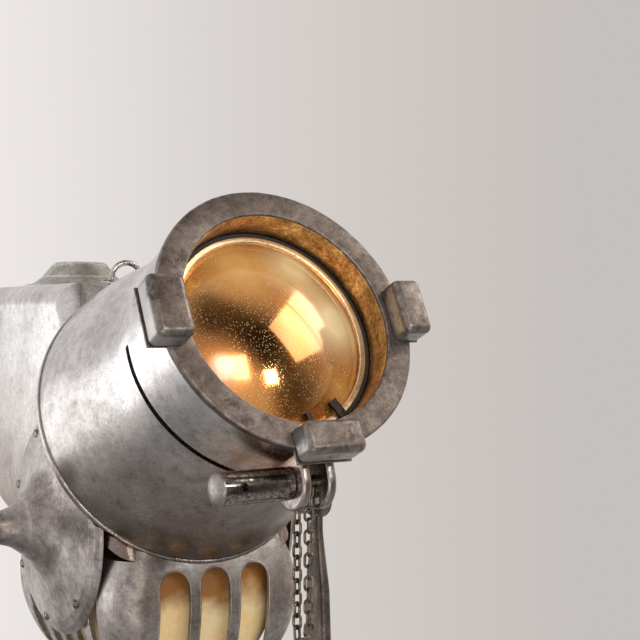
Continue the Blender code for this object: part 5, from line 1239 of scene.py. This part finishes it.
def lay_knob(name, place, direction, seat, radius, shank, tip, body):
    """A five-lobed hand knob with a steel stem and a dished face."""
    lobes, depth, around = 5, 0.016, 140
    outline = []
    for i in range(around):
        angle = math.tau * i / around
        reach = radius * (0.90 + 0.10 * math.cos(lobes * angle))
        outline.append((reach * math.cos(angle), reach * math.sin(angle)))
    grip = softened(slab(outline, seat + 0.008, seat + 0.008 + depth, "Z"), 0.0028, 4, 60)
    neck = radius * 0.45
    stem = turned(eased([(0, tip), (shank, tip, 0.0008), (shank, seat), (neck, seat, 0.0006),
                         (neck * 0.9, seat + 0.009), (0, seat + 0.009)]), 64)
    top = seat + 0.008 + depth
    dish = turned(eased([(0, top - 0.0012), (radius * 0.42, top - 0.0012, 0.0008), (radius * 0.50, top + 0.004),
                         (0, top + 0.004)]), 96)
    cap = turned(eased([(0, top - 0.0014), (radius * 0.34, top - 0.0014), (radius * 0.34, top - 0.0006, 0.0004),
                        (0, top)]), 64)
    turn, about = {"-X": (-math.pi / 2, "Y"), "+X": (math.pi / 2, "Y"), "+Y": (-math.pi / 2, "X")}[direction]
    frame_of = HEAD @ Matrix.Translation(place) @ Matrix.Rotation(turn, 4, about)
    piece(name + "_grip", grip, frame_of, "black_plastic", body, [name], cuts=[(dish, frame_of)])
    piece(name + "_stem", stem, frame_of, "bright_steel", body)
    piece(name + "_cap", cap, frame_of, "bright_steel", body)


def lay_swivel():
    bar_top = -YOKE_DROP
    bar_base = bar_top - YOKE_THICK
    neck = SPINDLE_RADIUS - 0.004
    tip = SOCKET_BASE + 0.014
    piece("swivel_spindle", turned(eased([
        (0, tip), (SPINDLE_RADIUS, tip, 0.001), (SPINDLE_RADIUS, bar_base - GAP), (neck, bar_base - GAP),
        (neck, bar_top + GAP), (0.013, bar_top + GAP), (0.013, bar_top + 0.0075, 0.0014),
        (0.006, bar_top + 0.0075), (0.006, bar_top + 0.004), (0, bar_top + 0.004)]), 72), HEAD,
        "bright_steel", "yoke", ["pan_spindle"])
    piece("brass_thrust_ring", tube(SOCKET_RADIUS - 0.003, SPINDLE_RADIUS + GAP, SOCKET_TOP + GAP,
                                    bar_base - GAP), HEAD, "aged_brass", "yoke", ["thrust_washer"])
    spigot = INNER_TUBE - TUBE_WALL - GAP
    middle = SOCKET_TOP - SOCKET_LENGTH / 2 + 0.006
    socket = turned(eased([
        (0, SOCKET_BASE - 0.030), (spigot, SOCKET_BASE - 0.030, 0.001), (spigot, SOCKET_BASE),
        (SOCKET_RADIUS - 0.006, SOCKET_BASE, 0.0008), (SOCKET_RADIUS, SOCKET_BASE + 0.010, 0.004),
        (SOCKET_RADIUS, SOCKET_TOP, 0.0018), (SPINDLE_RADIUS + GAP, SOCKET_TOP, 0.0005),
        (SPINDLE_RADIUS + GAP, tip - 0.001), (0, tip - 0.001)]), 112)
    piece("cast_socket", socket, HEAD, "cast_grey", "mast", ["swivel_socket"],
          cuts=[(moved(rod(0.004 + GAP, 0, 0.05, 32, "Y"), (0, 0, middle)), HEAD)])
    lay_knob("pan_lock_knob", (0, 0, middle), "+Y", SOCKET_RADIUS + GAP, 0.017, 0.004, SPINDLE_RADIUS + GAP,
             "pan_screw")


def lay_column():
    top = SOCKET_BASE - GAP
    piece("sliding_tube", tube(INNER_TUBE, INNER_TUBE - TUBE_WALL, top - INNER_LENGTH, top, 96), HEAD,
          "bright_steel", "mast", ["inner_column"])
    piece("column_tube", tube(COLUMN_RADIUS, COLUMN_BORE, COLUMN_BASE, COLUMN_TOP, 96), COLUMN,
          "bright_steel", "stand", ["outer_column"])
    piece("column_end_cap", turned(eased([
        (0, COLUMN_BASE - 0.008), (COLUMN_RADIUS, COLUMN_BASE - 0.008, 0.003),
        (COLUMN_RADIUS, COLUMN_BASE - GAP), (COLUMN_BORE - GAP, COLUMN_BASE - GAP),
        (COLUMN_BORE - GAP, COLUMN_BASE + 0.012, 0.001), (0, COLUMN_BASE + 0.012)]), 96),
        COLUMN, "rubber", "stand", ["column_cap"])


def lay_clamp():
    high = COLUMN_TOP + 0.014
    low = high - CLAMP_LENGTH
    rib = 0.0012
    outline = [(COLUMN_RADIUS + GAP, low), (CLAMP_RADIUS, low, 0.002), (CLAMP_RADIUS, low + 0.006),
               (CLAMP_RADIUS - rib, low + 0.007, 0.001), (CLAMP_RADIUS - rib, high - 0.024, 0.001),
               (CLAMP_RADIUS, high - 0.023), (CLAMP_RADIUS, high, 0.003), (COLUMN_BORE, high),
               (COLUMN_BORE, COLUMN_TOP + GAP), (COLUMN_RADIUS + GAP, COLUMN_TOP + GAP)]
    middle = COLUMN_TOP + 0.007
    boss = moved(rod(0.0065, CLAMP_RADIUS - 0.004, CLAMP_RADIUS + 0.005, 48, "Y", 0.0008), (0, 0, middle))
    hole = moved(rod(0.0035 + GAP, 0.010, 0.06, 32, "Y"), (0, 0, middle))
    piece("cast_clamp", turned(eased(outline), 112), COLUMN, "cast_grey", "stand", ["column_clamp"],
          adds=[(boss, COLUMN)], cuts=[(hole, COLUMN)])
    lay_knob("clamp_knob", (0, 0, middle - PIVOT.z), "+Y", CLAMP_RADIUS + 0.005 + GAP, 0.017, 0.0035,
             COLUMN_BORE, "clamp_screw")


def lay_legs():
    low, high = LEG_HEIGHT - CROWN_HALF, LEG_HEIGHT + CROWN_HALF
    bore = COLUMN_RADIUS + GAP
    groove = 0.0015
    hub = turned(eased([(bore, low), (CROWN_RADIUS, low, 0.003), (CROWN_RADIUS, high - 0.010, 0.0008),
                        (CROWN_RADIUS - groove, high - 0.009, 0.0006),
                        (CROWN_RADIUS - groove, high - 0.007, 0.0006), (CROWN_RADIUS, high - 0.006, 0.0008),
                        (CROWN_RADIUS, high, 0.003), (bore, high)]), 128)
    inner = LEG_EYE_WIDTH / 2 + GAP
    seat = inner + LEG_EAR_WALL + GAP
    ear = arc((LEG_REACH, 0), LEG_EYE, -math.pi / 2, math.pi / 2, 24)
    ear += [((bore + CROWN_RADIUS) / 2, CROWN_HALF - 0.008), ((bore + CROWN_RADIUS) / 2, 0.004 - CROWN_HALF)]
    adds, cuts = [], []
    for number, angle, body in LEGS:
        around = Matrix.Rotation(math.radians(angle), 4, "Z")
        around = COLUMN @ Matrix.Translation((0, 0, LEG_HEIGHT)) @ around
        hinge = around @ Matrix.Translation((LEG_REACH, 0, 0))
        for side in (-1, 1):
            near, far = sorted((side * inner, side * (inner + LEG_EAR_WALL)))
            adds.append((softened(slab(ear, near, far, "Y"), 0.0014, 3, 60), around))
        cuts.append((rod(LEG_PIN + GAP, -0.04, 0.04, 32, "Y"), hinge))
        lay_leg(number, body, hinge, seat)
    crown = piece("cast_crown", hub, COLUMN, "cast_grey", "stand", ["crown"], adds=adds, cuts=cuts)
    cast_skin(crown, 0.00018, 70)


def ribs_tree():
    """Rings along a line, for the grip ribs of a rubber foot."""
    tree, sizes = new_tree("foot_ribs", ("Count", "Int"), ("Ring radius", "Float"), ("Rib radius", "Float"))
    spots = node(tree, "GeometryNodeCurveToPoints", {"Curve": sizes["Path"], "Count": sizes["Count"]},
                 mode="COUNT").outputs
    circle = node(tree, "GeometryNodeCurvePrimitiveCircle", {
        "Resolution": 56, "Radius": sizes["Ring radius"]})
    hoop = wire_along(tree, circle.outputs["Curve"], sizes["Rib radius"], 8)
    return end_tree(tree, sizes, repeated(tree, spots["Points"], hoop, spots["Rotation"]))


def lay_leg(number, body, hinge, seat):
    half = LEG_EYE_WIDTH / 2
    heel = LEG_REACH - CROWN_RADIUS - GAP
    outline = arc((0, 0), LEG_EYE - 0.001, -math.pi, math.pi * 0.35, 30)
    outline += [(0, 0.012), (-heel, 0.011), (-heel, 0.002)]
    line = hinge @ Matrix.Rotation(math.pi - LEG_LEAN, 4, "Y")
    start = LEG_EYE + 0.004
    socket = rod(LEG_TUBE + 0.0035, 0.006, LEG_SOCKET, 64, ease=0.0018)
    cuts = [(rod(LEG_TUBE + GAP, start - GAP, LEG_SOCKET + 0.02, 64), line),
            (rod(LEG_PIN + GAP, -0.05, 0.05, 32, "Y"), hinge)]
    for side in (-1, 1):
        near, far = sorted((side * (half + GAP / 2), side * (half + 0.02)))
        cuts.append((block((-0.05, near, -LEG_EYE - 0.008), (0.05, far, 0.05)), hinge))
    piece(f"cast_leg_top_{number}", softened(slab(outline, -half, half, "Y"), 0.0010, 2, 60), hinge,
          "cast_grey", body, [f"leg_top_{number}"], adds=[(socket, line)], cuts=cuts)
    bolt = eased([(0, -seat - 0.002), (0.0035, -seat - 0.002), (0.0035, -seat - 0.004, 0.0004),
                  (0.007, -seat - 0.004, 0.0012), (0.007, -seat), (LEG_PIN, -seat), (LEG_PIN, seat),
                  (0.0065, seat), (0.0065, seat + 0.005, 0.0012), (0, seat + 0.005)])
    piece(f"hinge_bolt_{number}", turned(bolt, 56, "Y"), hinge, "bright_steel", "stand",
          [f"leg_pin_{number}"])
    length = LEG_HEIGHT / math.cos(LEG_LEAN)
    tube_end = length - FOOT_SOLE
    piece(f"steel_leg_{number}", tube(LEG_TUBE, LEG_TUBE - TUBE_WALL, start, tube_end, 72), line,
          "bright_steel", body, [f"leg_tube_{number}"])
    collar = length - FOOT_LENGTH
    boot = eased([(0, tube_end + GAP), (LEG_TUBE + GAP, tube_end + GAP), (LEG_TUBE + GAP, collar),
                  (LEG_TUBE + 0.0035, collar, 0.001), (LEG_TUBE + 0.0047, collar + 0.004, 0.003),
                  (FOOT_RADIUS, length - 0.016, 0.010), (FOOT_RADIUS, length + 0.016), (0, length + 0.016)])
    floor = block((-0.2, -0.1, -LEG_HEIGHT - 0.1), (0.2, 0.1, -LEG_HEIGHT))
    piece(f"rubber_foot_{number}", turned(boot, 96), line, "rubber", body, [f"foot_{number}"],
          cuts=[(moved(floor, (FOOT_REACH - LEG_REACH, 0, 0)), hinge)])
    ribs = grown(paths([[(0, 0, collar + 0.006), (0, 0, collar + 0.020)]], line), ribs_tree(),
                 {"Count": 4, "Ring radius": LEG_TUBE + 0.0058, "Rib radius": 0.0009,
                  "Finish": LOOKS["rubber"]}, f"foot_ribs_{number}")
    dress(ribs, "rubber", body)


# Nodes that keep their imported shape

def dress_packed_nodes():
    wanted = {row["node"]: row["material_slot"] for row in frame["record"]["subparts"]}
    for name, thing in frame["nodes"].items():
        if not thing.hide_render:
            thing.data.materials.clear()
            look = "clip_dark" if name.startswith("lens_clip") else wanted[name]
            thing.data.materials.append(LOOKS[look])


# Camera, lights and floor

LENS_LENGTH, SENSOR = 70, 36
EYE = RING_CENTRE + Vector((-0.5017, -0.8080, -0.0039))
LOOK = Vector((0.548, 0.8365, 0)).normalized()
RIGHT = Vector((LOOK.y, -LOOK.x, 0))
UP = Vector((0, 0, 1))


def set_camera():
    camera = placed("camera", bpy.data.cameras.new("camera"))
    camera.data.lens, camera.data.sensor_width = LENS_LENGTH, SENSOR
    camera.data.clip_start = 0.02
    camera.matrix_world = axes(EYE, RIGHT, UP, -LOOK)
    bpy.context.scene.camera = camera


def soft_lamp(name, place, aim, wide, tall, glow, colour=(1, 1, 1), long_axis=None):
    """A one-sided panel of even glow, that the camera doesn't see."""
    data = bpy.data.lights.new(name, "AREA")
    data.shape, data.size, data.size_y = "RECTANGLE", wide, tall
    data.energy = glow * math.pi * wide * tall
    data.color = colour
    lamp = placed(name, data)
    back = (place - aim).normalized()
    side = (long_axis or UP.cross(back)).normalized()
    side = (side - back * side.dot(back)).normalized()
    lamp.matrix_world = axes(place, side, back.cross(side), back)
    lamp.visible_camera = False


def set_lamps():
    """Big soft windows, and the panels that the lens and the collar mirror."""
    lens = RING_CENTRE - FORWARD * 0.015
    away = 2.0
    soft_lamp("left_window", RING_CENTRE - RIGHT * 1.7 + LOOK * 0.35 - UP * 0.22, RING_CENTRE - UP * 0.05,
              1.5, 0.8, 1.45)
    soft_lamp("low_window", RING_CENTRE - LOOK * 1.6 + RIGHT * 0.25 - UP * 0.65, PIVOT - UP * 0.05,
              0.9, 0.9, 1.75, (1.0, 0.97, 0.93))
    strip = Vector((0.6775, -0.2385, 0.522)).normalized()
    along = Vector((-0.394, -0.917, 0.068)).normalized()
    for name, shift, length in (("near", 0.60, 0.80), ("middle", -0.13, 0.56), ("far", -0.74, 0.54)):
        aim = lens + along * shift
        soft_lamp(name + "_window", aim + strip * away, aim, length, 0.80, 3.2, (1.0, 0.94, 0.86), along)
    spot = Vector((0.35, -0.87, 0.348)).normalized()
    soft_lamp("small_window", lens + spot * away, lens, 0.22, 0.22, 30.0)
    rear = RIGHT * 0.481 + UP * 0.456 - LOOK * 0.749
    soft_lamp("rear_window", lens + rear * away, lens, 0.60, 0.44, 12.0, (1.0, 0.94, 0.84))


def set_world():
    """A pale room: brighter to the left, as in the photograph, and the same in metal and glass."""
    world = bpy.data.worlds.new("pale_room")
    bpy.context.scene.world = world
    world.use_nodes = True
    tree = world.node_tree
    tree.nodes.clear()
    ray = node(tree, "ShaderNodeLightPath").outputs
    way = node(tree, "ShaderNodeTexCoord").outputs["Generated"]
    across = vector_maths(tree, "DOT_PRODUCT", way, RIGHT)
    deep = vector_maths(tree, "DOT_PRODUCT", way, LOOK)
    shades = ramp(tree, mapped(tree, across, -0.24, 0.20, 0.0, 1.0), [
        (0.0, (0.84, 0.80, 0.785)), (0.35, (0.70, 0.665, 0.645)), (0.7, (0.62, 0.575, 0.55)),
        (1.0, (0.56, 0.53, 0.51))])
    walls = ramp(tree, mapped(tree, deep, -1.0, 1.0, 0.0, 1.0), [
        (0.0, (1.15, 1.10, 1.05)), (0.17, (1.05, 0.98, 0.92)), (0.25, (0.14, 0.12, 0.11)),
        (0.33, (0.12, 0.10, 0.09)), (0.41, (0.74, 0.70, 0.68)), (0.56, (1.0, 0.96, 0.92)),
        (0.76, (1.5, 1.43, 1.36))])
    more = mapped(tree, across, -0.75, -0.15, 1.15, 1.0)
    left = node(tree, "ShaderNodeVectorMath", {0: shades, "Scale": more}, operation="SCALE").outputs["Vector"]
    right = times(tree, ray["Is Glossy Ray"], mapped(tree, across, -0.05, 0.22, 0, 1))
    mirrored = blended(tree, ray["Is Glossy Ray"], shades, left)
    mirrored = blended(tree, right, mirrored, blended(tree, 1.0, shades, walls, "MULTIPLY"))
    seen = node(tree, "ShaderNodeBackground", {"Color": mirrored})
    lit = node(tree, "ShaderNodeBackground", {"Color": (0.92, 0.95, 1.0, 1), "Strength": 0.46})
    shown = maths(tree, "MAXIMUM", ray["Is Camera Ray"],
                  maths(tree, "MAXIMUM", ray["Is Glossy Ray"], ray["Is Transmission Ray"]))
    mix = node(tree, "ShaderNodeMixShader", {
        "Fac": shown, 1: lit.outputs["Background"], 2: seen.outputs["Background"]})
    node(tree, "ShaderNodeOutputWorld", {"Surface": mix.outputs["Shader"]})


def set_floor():
    """A pale floor that fades into the room."""
    shape = bmesh.new()
    bmesh.ops.create_circle(shape, cap_ends=True, segments=96, radius=3.6)
    floor = raw("floor", shape, Matrix.Translation((0, 0, -0.0005)))
    material, tree, shader = nodes_of("floor_paint")
    paint = ramp(tree, spotted(tree, 1.5, 4), [(0.3, (0.60, 0.575, 0.555)), (0.7, (0.66, 0.635, 0.615))])
    link(tree, paint, shader.inputs["Base Color"])
    shader.inputs["Roughness"].default_value = 0.85
    reach = vector_maths(tree, "LENGTH", object_place(tree))
    link(tree, mapped(tree, reach, 1.6, 3.5, 1.0, 0.0), shader.inputs["Alpha"])
    floor.data.materials.append(material)


for step in (lay_ring, lay_lugs, lay_lens, lay_barrel, lay_pin, lay_chain,
             lay_housing, lay_cage, lay_shoulders, lay_slot_lips, lay_liner, lay_cage_floor,
             lay_small_screws, lay_lamp, lay_cheeks, lay_cowl, lay_eye, lay_door,
             lay_yoke, lay_swivel, lay_column, lay_clamp, lay_legs,
             dress_packed_nodes, set_camera, set_lamps, set_world, set_floor):
    step()
bpy.context.scene.view_settings.view_transform = "Standard"
